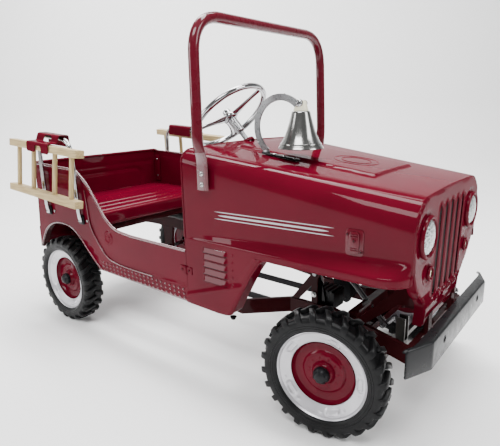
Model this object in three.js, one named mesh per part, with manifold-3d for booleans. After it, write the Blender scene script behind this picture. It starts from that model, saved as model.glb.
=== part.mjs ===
// A child's pedal car in pressed steel: open tub with a bench seat, long tapered hood, tubular
// windshield hoop, bell, two side ladders, crank drive on the rear axle and front-wheel steering.
// Millimetres. +X is the front of the car, +Y its left side, +Z up. The ground is z = 0.
// While the parts are drawn, x = 0 is the rear axle; the whole car is centred at the end.
import * as THREE from "three";
import { mergeVertices } from "three/addons/utils/BufferGeometryUtils.js";
import Module from "manifold-3d";

const wasm = await Module();
wasm.setup();

// ---------------------------------------------------------------- driving dimensions
const GAP = 0.3; // clearance between touching parts
const SHEET = 2; // body sheet
const SIDES = [["right", -1], ["left", 1]];
const BODY_HALF = 185; // half width over the body sides
const COWL_X = 395; // seam between tub and cowl
const NOSE_X = 797; // front edge of the hood
const SHELF_Z = 263; // outer edge of the fender shelf
const SEAT_Z = 270;

const WHEEL_R = 100;
const WHEEL_Y = 187; // centre plane of each wheel
const WHEEL_FACETS = 24;
const TYRE_R = WHEEL_R / Math.cos(Math.PI / WHEEL_FACETS); // corner radius, so each flat lies at WHEEL_R
const BEAD_R = 71;
const AXLE_R = 5.2;
const BORE_R = 5.8;

const KINGPIN_X = 679;
const KINGPIN_Y = 142;
const STUB_REACH = 45.6; // kingpin to wheel centre plane
const REST_STEER = THREE.MathUtils.degToRad(9.3); // front wheels as they stand, turned left
const STEER_RATIO = 0.5; // knuckle angle over steering wheel angle
const ARM_REACH = 48; // kingpin to tie rod pin
const PITMAN_REACH = ARM_REACH * STEER_RATIO;

const COLUMN_TOP = new THREE.Vector3(350, 0, 468);
const COLUMN_END = new THREE.Vector3(704, 0, 104);
const COLUMN_R = 5;
const RIM_R = 84; // steering wheel rim, to the middle of its tube

const RAIL_WIDE_Y = 124;
const RAIL_NARROW_Y = 62;
const RAIL_THICK = 8;
const RAIL_DEEP = 28;
const RAIL_LOW_Z = 114; // underside of the rails in front of the seat
const RAIL_HIGH_Z = 160; // underside of the rails over the rear axle

const CRANK_R = 30;
const PEDAL_PIVOT = new THREE.Vector2(594, 198); // x and z
const ROD_PIN = new THREE.Vector2(600, 114);
const ARM_IN_Y = 51.5;
const ARM_OUT_Y = 55.5;

const SLOT_PITCH = 28; // grille slots
const SLOT_R = 7.3;
const SLOT_TOP_Z = 337.2; // centres of a slot's round ends
const SLOT_FOOT_Z = 212.8;
const HEADLIGHT = { y: 108.7, z: 309, radius: 26 };
const MARKER = { y: 90, z: 251, radius: 8 };
const HOOP_R = 9.2; // windshield tube
const BELL = new THREE.Vector3(573.5, -80, 491.5); // screw the bell swings on
const LADDER = new THREE.Vector3(8, 220, 408.5); // centre of a ladder's top rail
const LADDER_PITCH = THREE.MathUtils.degToRad(3.5);
const LADDER_LEAN = THREE.MathUtils.degToRad(5.5);
const LADDER_LENGTH = 272;
const LADDER_DROP = 103; // between the two rails

// ---------------------------------------------------------------- materials
const metal = (color, roughness = 0.35, metalness = 0.2) =>
  new THREE.MeshStandardMaterial({ color, roughness, metalness });
const CRIMSON = () => metal(0x7a1826, 0.25, 0.2);
const CHASSIS_RED = () => metal(0x4a1a1c, 0.45, 0.2);
const BLACK = () => metal(0x161618, 0.35, 0.1);
const CHROME = () => metal(0xc8c8c8, 0.12, 1);
const STEEL = () => metal(0x9a9a98, 0.35, 0.9);
const RUBBER = () => metal(0x1c1c1e, 0.8, 0);
const PALE_RING = () => metal(0xc9c9cc, 0.4, 0.1);
const WOOD = () => metal(0xbca878, 0.7, 0);
const LENS = () => metal(0xd8dcdc, 0.15, 0);
const AMBER = () => metal(0xd6cf9a, 0.2, 0);

// ---------------------------------------------------------------- solids
// Turns a closed geometry into a solid whose faces point out.
function solid(geometry, matrix = new THREE.Matrix4()) {
  const bare = geometry.clone().applyMatrix4(matrix);
  bare.deleteAttribute("normal");
  bare.deleteAttribute("uv");
  const welded = mergeVertices(bare, 1e-3);
  const triVerts = new Uint32Array(welded.index.array);
  const make = () =>
    new wasm.Manifold(new wasm.Mesh({
      numProp: 3,
      vertProperties: welded.attributes.position.array,
      triVerts,
    }));
  const made = make();
  if (made.volume() > 0) return made;
  for (let i = 0; i < triVerts.length; i += 3) {
    [triVerts[i + 1], triVerts[i + 2]] = [triVerts[i + 2], triVerts[i + 1]];
  }
  return make();
}

const join = (...parts) => parts.reduce((whole, part) => whole.add(part));

function geometryOf(made) {
  const mesh = made.getMesh();
  const geometry = new THREE.BufferGeometry();
  geometry.setAttribute("position", new THREE.BufferAttribute(mesh.vertProperties, 3));
  geometry.setIndex(new THREE.BufferAttribute(mesh.triVerts, 1));
  const flat = geometry.toNonIndexed();
  flat.computeVertexNormals();
  return flat;
}

const v3 = (x, y, z) => new THREE.Vector3(x, y, z);
const toPoint = ([a, b]) => new THREE.Vector2(a, b);
const toShape = (outline) =>
  outline instanceof THREE.Shape ? outline : new THREE.Shape(outline.map(toPoint));

function slab(outline, depth, xAxis, yAxis, zAxis, origin) {
  const geometry = new THREE.ExtrudeGeometry(toShape(outline),
    { depth, bevelEnabled: false, curveSegments: 6 });
  const matrix = new THREE.Matrix4().makeBasis(xAxis, yAxis, zAxis).setPosition(origin);
  return solid(geometry, matrix);
}

// An outline in X and Z, spread along Y between two values.
const sideSlab = (outline, y0, y1) =>
  slab(outline, Math.abs(y1 - y0), v3(1, 0, 0), v3(0, 0, 1), v3(0, -1, 0), v3(0, Math.max(y0, y1), 0));
// An outline in Y and Z, spread along X.
const crossSlab = (outline, x0, x1) =>
  slab(outline, x1 - x0, v3(0, 1, 0), v3(0, 0, 1), v3(1, 0, 0), v3(x0, 0, 0));
// An outline in X and Y, spread along Z.
const planSlab = (outline, z0, z1) =>
  slab(outline, z1 - z0, v3(1, 0, 0), v3(0, 1, 0), v3(0, 0, 1), v3(0, 0, z0));

function box(x0, x1, y0, y1, z0, z1) {
  const geometry = new THREE.BoxGeometry(x1 - x0, Math.abs(y1 - y0), z1 - z0);
  const centre = new THREE.Matrix4().makeTranslation((x0 + x1) / 2, (y0 + y1) / 2, (z0 + z1) / 2);
  return solid(geometry, centre);
}

// A round bar from one point to another.
function bar(from, to, radius, facets = 12, radiusTo = radius) {
  const along = to.clone().sub(from);
  const geometry = new THREE.CylinderGeometry(radiusTo, radius, along.length(), facets);
  const turn = new THREE.Quaternion().setFromUnitVectors(v3(0, 1, 0), along.clone().normalize());
  const middle = from.clone().add(to).multiplyScalar(0.5);
  return solid(geometry, new THREE.Matrix4().compose(middle, turn, v3(1, 1, 1)));
}

const barAlongY = (x, z, y0, y1, radius, facets = 12) => bar(v3(x, y0, z), v3(x, y1, z), radius, facets);

// A solid of revolution about the local Y axis: profile points are radius and height.
function turned(profile, facets, matrix = new THREE.Matrix4()) {
  const points = profile.map(([radius, height]) => new THREE.Vector2(radius, height));
  return solid(new THREE.LatheGeometry(points, facets, Math.PI / facets), matrix);
}

// A round tube through corner points, with a radius at each inner corner.
function bentTube(corners, bend, radius, facets, steps) {
  const path = new THREE.CurvePath();
  let start = corners[0];
  for (let i = 1; i < corners.length - 1; i++) {
    const into = corners[i - 1].clone().sub(corners[i]).setLength(bend).add(corners[i]);
    const out = corners[i + 1].clone().sub(corners[i]).setLength(bend).add(corners[i]);
    path.add(new THREE.LineCurve3(start, into));
    path.add(new THREE.QuadraticBezierCurve3(into, corners[i], out));
    start = out;
  }
  path.add(new THREE.LineCurve3(start, corners[corners.length - 1]));
  const section = new THREE.Shape();
  for (let i = 0; i < facets; i++) {
    const angle = (2 * Math.PI * i) / facets;
    const point = [radius * Math.cos(angle), radius * Math.sin(angle)];
    if (i === 0) section.moveTo(...point);
    else section.lineTo(...point);
  }
  return solid(new THREE.ExtrudeGeometry(section, { extrudePath: path, steps, bevelEnabled: false }));
}

// A body between two cross sections with the same number of points, in Y and Z.
function loft(sectionA, sectionB, xA, xB) {
  const shape = toShape(sectionA);
  const geometry = new THREE.ExtrudeGeometry(shape, { depth: 1, steps: 4, bevelEnabled: false });
  const place = geometry.attributes.position;
  for (let i = 0; i < place.count; i++) {
    const t = place.getZ(i);
    const k = sectionA.findIndex(([y, z]) =>
      Math.hypot(y - place.getX(i), z - place.getY(i)) < 1e-3);
    const [ya, za] = sectionA[k];
    const [yb, zb] = sectionB[k];
    place.setXYZ(i, xA + t * (xB - xA), ya + t * (yb - ya), za + t * (zb - za));
  }
  return solid(geometry);
}

const mirrored = (half) => [...half, ...half.slice().reverse().map(([y, z]) => [-y, z])];

// ---------------------------------------------------------------- the scene graph
const car = new THREE.Group();

function add(name, made, material, parent = car) {
  const mesh = new THREE.Mesh(geometryOf(made), material);
  mesh.name = name;
  parent.add(mesh);
}

// ---------------------------------------------------------------- body
function tubSideOutline() {
  const side = new THREE.Shape();
  const point = (x, z) => new THREE.Vector2(x, z);
  side.moveTo(-130, 154);
  side.lineTo(-127, 157);
  side.splineThru([point(-94, 203), point(-56, 224), point(-8, 229), point(36, 216),
    point(85, 173), point(122, 143)]);
  side.lineTo(390, 137);
  side.lineTo(COWL_X, 137);
  side.lineTo(COWL_X, 235);
  side.lineTo(236, 237);
  side.splineThru([point(187, 243), point(155, 262), point(125, 297), point(94, 332), point(57, 358)]);
  side.lineTo(-107, 365);
  return side;
}

function rearTub() {
  const outline = tubSideOutline();
  const rear = sideSlab([[-130, 154], [-127.8, 154], [-106.8, 365], [-109, 365]],
    -BODY_HALF, BODY_HALF);
  const topRoll = sideSlab([[-113, 362], [-104, 362], [-104, 370], [-113, 370]], -BODY_HALF, BODY_HALF);
  const sides = SIDES.map(([, s]) => sideSlab(outline, s * (BODY_HALF - SHEET), s * BODY_HALF));
  return join(rear, topRoll, ...sides);
}

function seatPanel() {
  const half = BODY_HALF - SHEET - GAP;
  const profile = [[-114, SEAT_Z], [128, SEAT_Z], [128, SEAT_Z - 30], [126, SEAT_Z - 30],
    [126, SEAT_Z - SHEET], [-114, SEAT_Z - SHEET]];
  return sideSlab(profile, -half, half);
}

const HOOD_FRONT = [[155, 262], [157, 300], [152, 328], [142, 346], [127, 359], [105, 367], [40, 371]];
const HOOD_REAR = [[185, 262], [185, 392], [183, 402], [178, 409], [170, 414], [155, 418], [60, 423]];

function hoodSolid(inset, extra) {
  const shrink = ([y, z], i) => (i === 0 ? [y - inset, z - 4 * inset] : [y - inset, z - inset]);
  return loft(mirrored(HOOD_REAR.map(shrink)), mirrored(HOOD_FRONT.map(shrink)),
    COWL_X + GAP - extra, NOSE_X + extra);
}

// The outer edge of the fender in plan, with its rounded front corner, moved in by an inset.
function fenderEdge(inset, fromX) {
  const corner = new THREE.QuadraticBezierCurve(new THREE.Vector2(752, BODY_HALF - inset),
    new THREE.Vector2(788 - inset, BODY_HALF - inset), new THREE.Vector2(NOSE_X - 1 - inset, 156));
  return [[fromX, BODY_HALF - inset], ...corner.getPoints(6).map((p) => [p.x, p.y])];
}

const flip = (outline, s) => outline.map(([x, y]) => [x, s * y]);

function fenderShelf(s) {
  const rise = 0.58;
  const innerY = 140;
  const innerZ = SHELF_Z + rise * (BODY_HALF - innerY);
  const section = [[BODY_HALF, SHELF_Z], [innerY, innerZ], [innerY, innerZ - SHEET],
    [BODY_HALF, SHELF_Z - SHEET]].map(([y, z]) => [s * y, z]);
  const start = COWL_X + GAP;
  const slope = crossSlab(section, start, NOSE_X);
  const plan = planSlab(flip([...fenderEdge(0, start), [NOSE_X - 1, innerY], [start, innerY]], s), 200, 340);
  const lip = planSlab(flip([...fenderEdge(0, 564), ...fenderEdge(SHEET, 564).reverse()], s),
    SHELF_Z - 12, SHELF_Z - 1);
  return join(slope.intersect(plan), lip);
}

function cowlSide(s) {
  const outer = s * BODY_HALF;
  const inner = s * (BODY_HALF - SHEET);
  const skirt = sideSlab([[COWL_X + GAP, 137], [480, 135], [501, 140], [509, 155], [545, 219],
    [566, 250], [582, SHELF_Z], [COWL_X + GAP, SHELF_Z]], inner, outer);
  const flange = sideSlab([[509, 155], [582, SHELF_Z - 0.2], [579.5, SHELF_Z - 0.2], [506.5, 155]],
    s * (BODY_HALF - 28), inner + s);
  return join(skirt, flange);
}

function cowlHood() {
  const outside = join(hoodSolid(0, 0), ...SIDES.map(([, s]) => fenderShelf(s)),
    ...SIDES.map(([, s]) => cowlSide(s)));
  const shell = outside.subtract(hoodSolid(SHEET, 5));
  const bracket = box(436, 440, -22, 22, 362, 420).intersect(hoodSolid(1, 0));
  const column = bar(COLUMN_TOP, COLUMN_END, COLUMN_R + 3, 16);
  return join(shell, bracket).subtract(column);
}

function grillePanel() {
  const outline = mirrored([[86, 163], [87, 190], [97, 205], [122, 225], [141, 251], [154, 278],
    ...HOOD_FRONT.slice(1)]);
  let panel = crossSlab(outline, NOSE_X + GAP, NOSE_X + 3);
  for (const { y, z, radius } of [HEADLIGHT, MARKER]) {
    for (const [, s] of SIDES) {
      const at = (forward) => v3(NOSE_X + forward, s * y, z);
      panel = panel.add(bar(at(2), at(9), radius + 5, 20, radius + 3));
      panel = panel.subtract(bar(at(-5), at(15), radius, 20));
    }
  }
  for (let i = -2; i <= 2; i++) {
    const slot = new THREE.Shape();
    slot.absarc(SLOT_PITCH * i, SLOT_TOP_Z, SLOT_R, 0, Math.PI);
    slot.absarc(SLOT_PITCH * i, SLOT_FOOT_Z, SLOT_R, Math.PI, 2 * Math.PI);
    panel = panel.subtract(crossSlab(slot, NOSE_X - 2, NOSE_X + 6));
  }
  return panel;
}

// A lens set in its bezel, with a crowned face.
function lens({ y, z, radius }, s) {
  const profile = [[0, 0], [radius - 0.5, 0], [radius - 0.5, 5], [radius * 0.6, 8.5], [0, 10]];
  const turn = new THREE.Matrix4().makeBasis(v3(0, 0, -1), v3(1, 0, 0), v3(0, -1, 0))
    .setPosition(NOSE_X + 1, s * y, z);
  return turned(profile, 20, turn);
}

function hoodLatch(s) {
  const outline = [[703, 286], [729, 286], [729, 314], [722, 320], [710, 320], [703, 314]];
  return sideSlab(outline, s * 164, s * 173);
}

function windshieldHoop() {
  const footY = 196.5;
  const topZ = 629.8;
  const corners = [v3(450, -footY, 404), v3(446, -192, topZ), v3(446, 192, topZ), v3(450, footY, 404)];
  const tube = bentTube(corners, 44, HOOP_R, 12, 32);
  const feet = SIDES.map(([, s]) => box(439, 461, s * 186, s * 191, 352, 416));
  return join(tube, ...feet);
}

function frontBumper() {
  const edge = [[809, -189], [829, -142], [829, 142], [809, 189]];
  const back = [[806.5, 187], [826, 140.6], [826, -140.6], [806.5, -187]];
  const face = planSlab([...edge, ...back], 131, 174);
  return join(face, planSlab(edge, 171, 174));
}

function bodyParts() {
  add("rear_tub", rearTub(), CRIMSON());
  add("seat_panel", seatPanel(), CRIMSON());
  add("cowl_hood", cowlHood(), CRIMSON());
  add("grille_panel", grillePanel(), CRIMSON());
  add("windshield_hoop", windshieldHoop(), CRIMSON());
  add("front_bumper", frontBumper(), BLACK());
  for (const [side, s] of SIDES) {
    add("headlight_lens_" + side, lens(HEADLIGHT, s), LENS());
    add("marker_lens_" + side, lens(MARKER, s), AMBER());
    add("hood_latch_" + side, hoodLatch(s), CRIMSON());
    add("rear_bumperette_" + side, box(-142, -130.4, s * 152, s * 178, 150, 205), BLACK());
  }
}

// ---------------------------------------------------------------- chassis
function railCentre() {
  return [[-69.7, RAIL_WIDE_Y], [478, RAIL_WIDE_Y], [544, RAIL_NARROW_Y], [636, RAIL_NARROW_Y],
    [784.7, 116]];
}

function frameRail(s) {
  const half = RAIL_THICK / 2;
  const plan = planSlab(flip([...railCentre().map(([x, y]) => [x, y + half]),
    ...railCentre().reverse().map(([x, y]) => [x, y - half])], s), 100, 200);
  const low = [[-80, RAIL_HIGH_Z], [27, RAIL_HIGH_Z], [478, RAIL_LOW_Z], [800, RAIL_LOW_Z]];
  const profile = sideSlab([...low, ...low.slice().reverse().map(([x, z]) => [x, z + RAIL_DEEP])],
    s * 40, s * 140);
  const outrigger = box(462, 478, s * 122, s * (BODY_HALF - SHEET - GAP), 136, 140);
  return join(plan.intersect(profile), outrigger);
}

function frameRearBend() {
  const bend = (r) => {
    const points = [];
    for (let i = 0; i <= 6; i++) {
      const angle = (Math.PI / 2) * (1 + i / 6);
      points.push([-70 + r * Math.cos(angle), RAIL_WIDE_Y - 50 + r * Math.sin(angle)]);
    }
    return points;
  };
  const half = RAIL_THICK / 2;
  const across = (points) => [...points, ...points.slice().reverse().map(([x, y]) => [x, -y])];
  const outer = across(bend(50 + half));
  const inner = across(bend(50 - half));
  return planSlab([...outer, ...inner.reverse()], RAIL_HIGH_Z, RAIL_HIGH_Z + RAIL_DEEP);
}

function crossMember() {
  const beam = box(785, 793, -121, 121, RAIL_LOW_Z, RAIL_LOW_Z + RAIL_DEEP + 3);
  const lugs = SIDES.map(([, s]) => box(792, 826 - GAP, s * 84, s * 98, 133, 144));
  const tabs = SIDES.map(([, s]) => box(790, NOSE_X, s * 50, s * 66, 140, 178));
  return join(beam, ...lugs, ...tabs);
}

function noseBrace(s) {
  const z = RAIL_LOW_Z + RAIL_DEEP + GAP;
  return sideSlab([[684, z], [702, z], [789, 219], [789, 236], [775, 236]], s * 78, s * 88);
}

function pedalBracket(s) {
  const z = RAIL_LOW_Z + RAIL_DEEP + GAP;
  const { x, y: pivotZ } = PEDAL_PIVOT;
  const leg = sideSlab([[x - 6, z], [x + 6, z], [x + 6, pivotZ + 22], [x - 6, pivotZ + 22]],
    s * 60, s * 64);
  const brace = sideSlab([[546, z], [560, z], [x + 4, pivotZ - 12], [x - 6, pivotZ]], s * 60, s * 64);
  const eye = barAlongY(x, pivotZ, s * 60, s * 64, 10);
  return join(leg, brace, eye).subtract(barAlongY(x, pivotZ, s * 50, s * 70, 4.6));
}

function frontAxleBeam() {
  const beam = box(KINGPIN_X - 7, KINGPIN_X + 7, -KINGPIN_Y, KINGPIN_Y, 93, 107);
  const upright = (s, z0, z1, radius) =>
    bar(v3(KINGPIN_X, s * KINGPIN_Y, z0), v3(KINGPIN_X, s * KINGPIN_Y, z1), radius);
  const bosses = SIDES.map(([, s]) => upright(s, 92, 108, 9.5));
  const risers = SIDES.map(([, s]) =>
    box(KINGPIN_X - 7, KINGPIN_X + 7, s * 70, s * 84, 100, RAIL_LOW_Z - GAP));
  const pins = SIDES.map(([, s]) => upright(s, 80, 120, 5.6));
  return join(beam, ...bosses, ...risers).subtract(join(...pins));
}

function rearAxleHanger(s) {
  const inner = s * (RAIL_WIDE_Y - 4);
  const outer = s * (RAIL_WIDE_Y + 4);
  const top = RAIL_HIGH_Z - GAP;
  const plate = sideSlab([[-20, top], [-13, 88], [13, 88], [20, top]], inner, outer);
  return plate.subtract(barAlongY(0, WHEEL_R, inner - s * 5, outer + s * 5, BORE_R));
}

function chassisParts() {
  add("frame_rear_bend", frameRearBend(), CHASSIS_RED());
  add("front_cross_member", crossMember(), CHASSIS_RED());
  add("front_axle_beam", frontAxleBeam(), CHASSIS_RED());
  for (const [side, s] of SIDES) {
    add("frame_rail_" + side, frameRail(s), CHASSIS_RED());
    add("nose_brace_" + side, noseBrace(s), CHASSIS_RED());
    add("pedal_bracket_" + side, pedalBracket(s), CHASSIS_RED());
    add("rear_axle_hanger_" + side, rearAxleHanger(s), CHASSIS_RED());
  }
}

// ---------------------------------------------------------------- wheels
const TYRE_PROFILE = [[BEAD_R, -18], [BEAD_R, 18], [78, 22.5], [88, 23], [94.5, 21.5], [TYRE_R, 15],
  [TYRE_R, -15], [94.5, -21.5], [88, -23], [78, -22.5], [BEAD_R, -18]];
const DISC_R = BEAD_R - GAP;
const DISC_PROFILE = [[DISC_R, -18], [DISC_R, 18.5], [67, 17.5], [53, 9.5], [50, 5], [47, 1.5], [17, 2],
  [14, 10], [BORE_R, 10], [BORE_R, -16], [11, -16], [11, -1.5], [48.5, -2], [54, 6], [68.4, 14.5],
  [68.4, -18], [DISC_R, -18]];
const CAP_PROFILE = [[0, 10 + GAP], [13, 10 + GAP], [13, 18], [9, 23], [0, 24]];

// One wheel about the Y axis: outward is the sign of its outer side.
function wheel(name, outward, parent) {
  const turn = new THREE.Matrix4().makeScale(1, outward, 1);
  const parts = [["tyre_", TYRE_PROFILE, WHEEL_FACETS, RUBBER()],
    ["wheel_disc_", DISC_PROFILE, WHEEL_FACETS, PALE_RING()], ["hub_cap_", CAP_PROFILE, 12, BLACK()]];
  for (const [prefix, profile, facets, material] of parts) {
    add(prefix + name, turned(profile, facets, turn), material, parent);
  }
}

function rearWheels() {
  for (const [side, s] of SIDES) {
    const place = new THREE.Group();
    place.position.set(0, s * WHEEL_Y, WHEEL_R);
    car.add(place);
    wheel("rear_" + side, s, place);
  }
}

// ---------------------------------------------------------------- steering
// A knuckle about its king pin: the stub axle points outward and the arm forward.
function knuckle(s) {
  const pin = bar(v3(0, 0, 84), v3(0, 0, 116), 5);
  const plates = [[85, 91.6], [108.4, 114]].map(([z0, z1]) =>
    join(bar(v3(0, 0, z0), v3(0, 0, z1), 10), box(-9, 9, 0, s * 16, z0, z1)));
  const web = box(-9, 9, s * 11, s * 16, 85, 114);
  const stub = barAlongY(0, WHEEL_R, s * 12, s * (STUB_REACH + 9.5), AXLE_R);
  const arm = box(0, ARM_REACH, -6, 6, 85, 91.6);
  const armEnd = bar(v3(ARM_REACH, 0, 85), v3(ARM_REACH, 0, 91.6), 8);
  const rodPin = bar(v3(ARM_REACH, 0, 74), v3(ARM_REACH, 0, 86), 3);
  return join(pin, ...plates, web, stub, arm, armEnd, rodPin);
}

function tieRod() {
  const x = KINGPIN_X + ARM_REACH * Math.cos(REST_STEER);
  const shift = ARM_REACH * Math.sin(REST_STEER);
  const [z0, z1] = [76, 84.6];
  const [right, left] = SIDES.map(([, s]) => s * KINGPIN_Y + shift);
  const rod = box(x - 4, x + 4, right, left, z0, z1);
  const eyes = [right, left].map((y) => bar(v3(x, y, z0), v3(x, y, z1), 8));
  const bores = [right, left].map((y) => bar(v3(x, y, 60), v3(x, y, 95), 3.6));
  const fork = [-1, 1].map((f) =>
    box(x - 4, x + 12, shift + f * 6.5, shift + f * 9.5, z0, 127));
  const foot = box(x - 4, x + 12, shift - 9.5, shift + 9.5, z0, z1);
  return join(rod, ...eyes, ...fork, foot).subtract(join(...bores));
}

function steeringWheel() {
  const rim = solid(new THREE.TorusGeometry(RIM_R, 6, 8, 36));
  const hub = join(bar(v3(0, 0, -8), v3(0, 0, 4), 15, 16), bar(v3(0, 0, 3), v3(0, 0, 16), 8, 12));
  const spokes = [-66, 45, 155].map((degrees) => {
    const angle = THREE.MathUtils.degToRad(degrees);
    const out = v3(Math.cos(angle), Math.sin(angle), 0);
    return bar(out.clone().multiplyScalar(10).setZ(-3), out.clone().multiplyScalar(RIM_R), 5.5, 8, 3.5);
  });
  return join(rim, hub, ...spokes);
}

// The steering wheel's own frame: its Z axis is the column, its X axis the car's left.
function columnFrame() {
  const group = new THREE.Group();
  const back = COLUMN_TOP.clone().sub(COLUMN_END).normalize();
  const across = v3(0, 1, 0);
  const matrix = new THREE.Matrix4().makeBasis(across, back.clone().cross(across), back)
    .setPosition(COLUMN_TOP);
  group.applyMatrix4(matrix);
  car.add(group);
  return group;
}

function steeringShaft() {
  const along = COLUMN_END.clone().sub(COLUMN_TOP).normalize();
  const at = (distance) => COLUMN_TOP.clone().addScaledVector(along, distance);
  const full = COLUMN_TOP.distanceTo(COLUMN_END);
  const shaft = bar(at(8 + GAP), at(full), COLUMN_R);
  const collar = bar(at(12), at(40), 9, 16);
  const up = v3(-along.z, 0, along.x);
  const angle = REST_STEER / STEER_RATIO;
  const reach = up.multiplyScalar(Math.cos(angle)).add(v3(0, Math.sin(angle), 0))
    .multiplyScalar(PITMAN_REACH);
  const tip = COLUMN_END.clone().add(reach);
  const pitman = bar(at(full - 4), tip.clone().addScaledVector(along, -4), 4.5, 8);
  const pin = bar(tip.clone().addScaledVector(along, -7), tip.clone().addScaledVector(along, 16), 4);
  return join(shaft, collar, pitman, pin, bar(at(full - 9), at(full), 8));
}

function lowerBearing() {
  const block = box(663, 677, -67.4, 67.4, 131, 147);
  return block.subtract(bar(COLUMN_TOP, COLUMN_END, COLUMN_R + 0.6, 16));
}

function steeringParts() {
  add("steering_wheel", steeringWheel(), CHROME(), columnFrame());
  add("steering_shaft", steeringShaft(), STEEL());
  add("shaft_lower_bearing", lowerBearing(), CHASSIS_RED());
  add("tie_rod", tieRod(), STEEL());
  for (const [side, s] of SIDES) {
    const steered = new THREE.Group();
    steered.position.set(KINGPIN_X, s * KINGPIN_Y, 0);
    steered.rotation.z = REST_STEER;
    car.add(steered);
    add("steering_knuckle_" + side, knuckle(s), CHASSIS_RED(), steered);
    const hub = new THREE.Group();
    hub.position.set(0, s * STUB_REACH, WHEEL_R);
    steered.add(hub);
    wheel("front_" + side, s, hub);
  }
}

// ---------------------------------------------------------------- pedal drive
// Two throws at opposite sides of the axle, each a web, a crank pin and a web.
function rearAxle() {
  const tip = WHEEL_Y + 9.5;
  const throwIn = 55;
  const throwOut = 75;
  const pieces = [barAlongY(0, WHEEL_R, -throwIn - 4, throwIn + 4, AXLE_R)];
  for (const [, s] of SIDES) {
    const pinX = -s * CRANK_R;
    pieces.push(barAlongY(0, WHEEL_R, s * (throwOut - 4), s * tip, AXLE_R));
    pieces.push(barAlongY(pinX, WHEEL_R, s * throwIn, s * throwOut, AXLE_R));
    for (const y of [throwIn, throwOut - 4]) {
      const [low, high] = [Math.min(0, pinX) - 7, Math.max(0, pinX) + 7];
      pieces.push(box(low, high, s * y, s * (y + 4), WHEEL_R - 6, WHEEL_R + 6));
    }
  }
  return join(...pieces);
}

function pedalArm(s) {
  const [y0, y1] = [s * ARM_IN_Y, s * ARM_OUT_Y];
  const blade = sideSlab([[PEDAL_PIVOT.x - 6, PEDAL_PIVOT.y], [PEDAL_PIVOT.x + 6, PEDAL_PIVOT.y],
    [ROD_PIN.x + 11, 150], [ROD_PIN.x + 6, ROD_PIN.y], [ROD_PIN.x - 6, ROD_PIN.y], [ROD_PIN.x - 3, 150]],
  y0, y1);
  const eyes = [PEDAL_PIVOT, ROD_PIN].map((p) => barAlongY(p.x, p.y, y0, y1, 8));
  const pin = barAlongY(ROD_PIN.x, ROD_PIN.y, s * (ARM_IN_Y - 5.5), y0 + s, 3);
  return join(blade, ...eyes, pin)
    .subtract(barAlongY(PEDAL_PIVOT.x, PEDAL_PIVOT.y, s * 45, s * 60, 4.5));
}

function pedalBlock(s) {
  const outline = [];
  const [low, high, left, right] = [133, 167, 590, 626];
  const teeth = 4;
  for (let i = 0; i < teeth; i++) {
    const x = left + ((right - left) * i) / teeth;
    const pitch = (right - left) / teeth;
    outline.push([x, high], [x + pitch * 0.6, high], [x + pitch * 0.6, high - 3], [x + pitch, high - 3]);
  }
  outline.push([right, low], [left, low]);
  return sideSlab(outline, s * 14, s * (ARM_IN_Y - GAP));
}

function driveRod(s) {
  const [y0, y1] = [s * (ARM_IN_Y - 4.5), s * (ARM_IN_Y - GAP - 0.2)];
  const rearZ = ROD_PIN.y + 7;
  const blade = sideSlab([[0, rearZ - 6], [ROD_PIN.x, ROD_PIN.y - 6], [ROD_PIN.x, ROD_PIN.y + 6],
    [0, rearZ + 6]], y0, y1);
  const ends = [[0, rearZ], [ROD_PIN.x, ROD_PIN.y]].map(([x, z]) => barAlongY(x, z, y0, y1, 8));
  const bores = [[0, rearZ], [ROD_PIN.x, ROD_PIN.y]].map(([x, z]) => barAlongY(x, z, s * 40, s * 60, 3.5));
  return join(blade, ...ends).subtract(join(...bores));
}

function driveParts() {
  add("rear_axle", rearAxle(), STEEL());
  add("pedal_shaft", barAlongY(PEDAL_PIVOT.x, PEDAL_PIVOT.y, -66, 66, 4), STEEL());
  for (const [side, s] of SIDES) {
    add("pedal_arm_" + side, pedalArm(s), BLACK());
    add("pedal_block_" + side, pedalBlock(s), RUBBER());
    add("drive_rod_" + side, driveRod(s), BLACK());
  }
}

// ---------------------------------------------------------------- bell
const SPACER_FOOT_Z = 481;
const SPACER_FLAT = 4.2; // from the bell's axis to the flat beside the strap

// A hook-shaped strap beside the bell, with a foot along the hood and a screw and nut at its tip.
function bellBracket() {
  const centre = [536.6, 453.5];
  const outer = 54.5;
  const inner = 41;
  const [foot, top, bottom] = [237, 54, 48].map(THREE.MathUtils.degToRad);
  const hook = new THREE.Shape();
  hook.absarc(...centre, outer, foot, top, true);
  hook.absarc(BELL.x, BELL.z, 7, 1.2, -1.9, true);
  hook.absarc(...centre, inner, bottom, foot, false);
  const strap = sideSlab(hook, BELL.y - 7.5, BELL.y - 4.5);
  const base = sideSlab([[500, 408.3], [574, 398.5], [574, 401.5], [500, 411.3]], BELL.y - 14, BELL.y - 2);
  const pin = barAlongY(BELL.x, BELL.z, BELL.y - 7, BELL.y + 12, 2.6);
  const head = barAlongY(BELL.x, BELL.z, BELL.y - 10.5, BELL.y - 7, 6.6);
  const nut = barAlongY(BELL.x, BELL.z, BELL.y + 10.8, BELL.y + 13.8, 4.4);
  return join(strap, base, pin, head, nut);
}

// The cone on top of the bell, flat beside the strap and bored for the screw.
function bellSpacer() {
  const cone = bar(v3(BELL.x, BELL.y, SPACER_FOOT_Z), v3(BELL.x, BELL.y, 496.5), 12, 16, 7.5);
  const flat = box(BELL.x - 20, BELL.x + 20, BELL.y - 20, BELL.y - SPACER_FLAT, SPACER_FOOT_Z, 500);
  const collar = bar(v3(BELL.x, BELL.y, 478.5), v3(BELL.x, BELL.y, SPACER_FOOT_Z), 12, 16);
  const bore = barAlongY(BELL.x, BELL.z, BELL.y - 20, BELL.y + 20, 3.1);
  return join(cone.subtract(flat), collar).subtract(bore);
}

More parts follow.
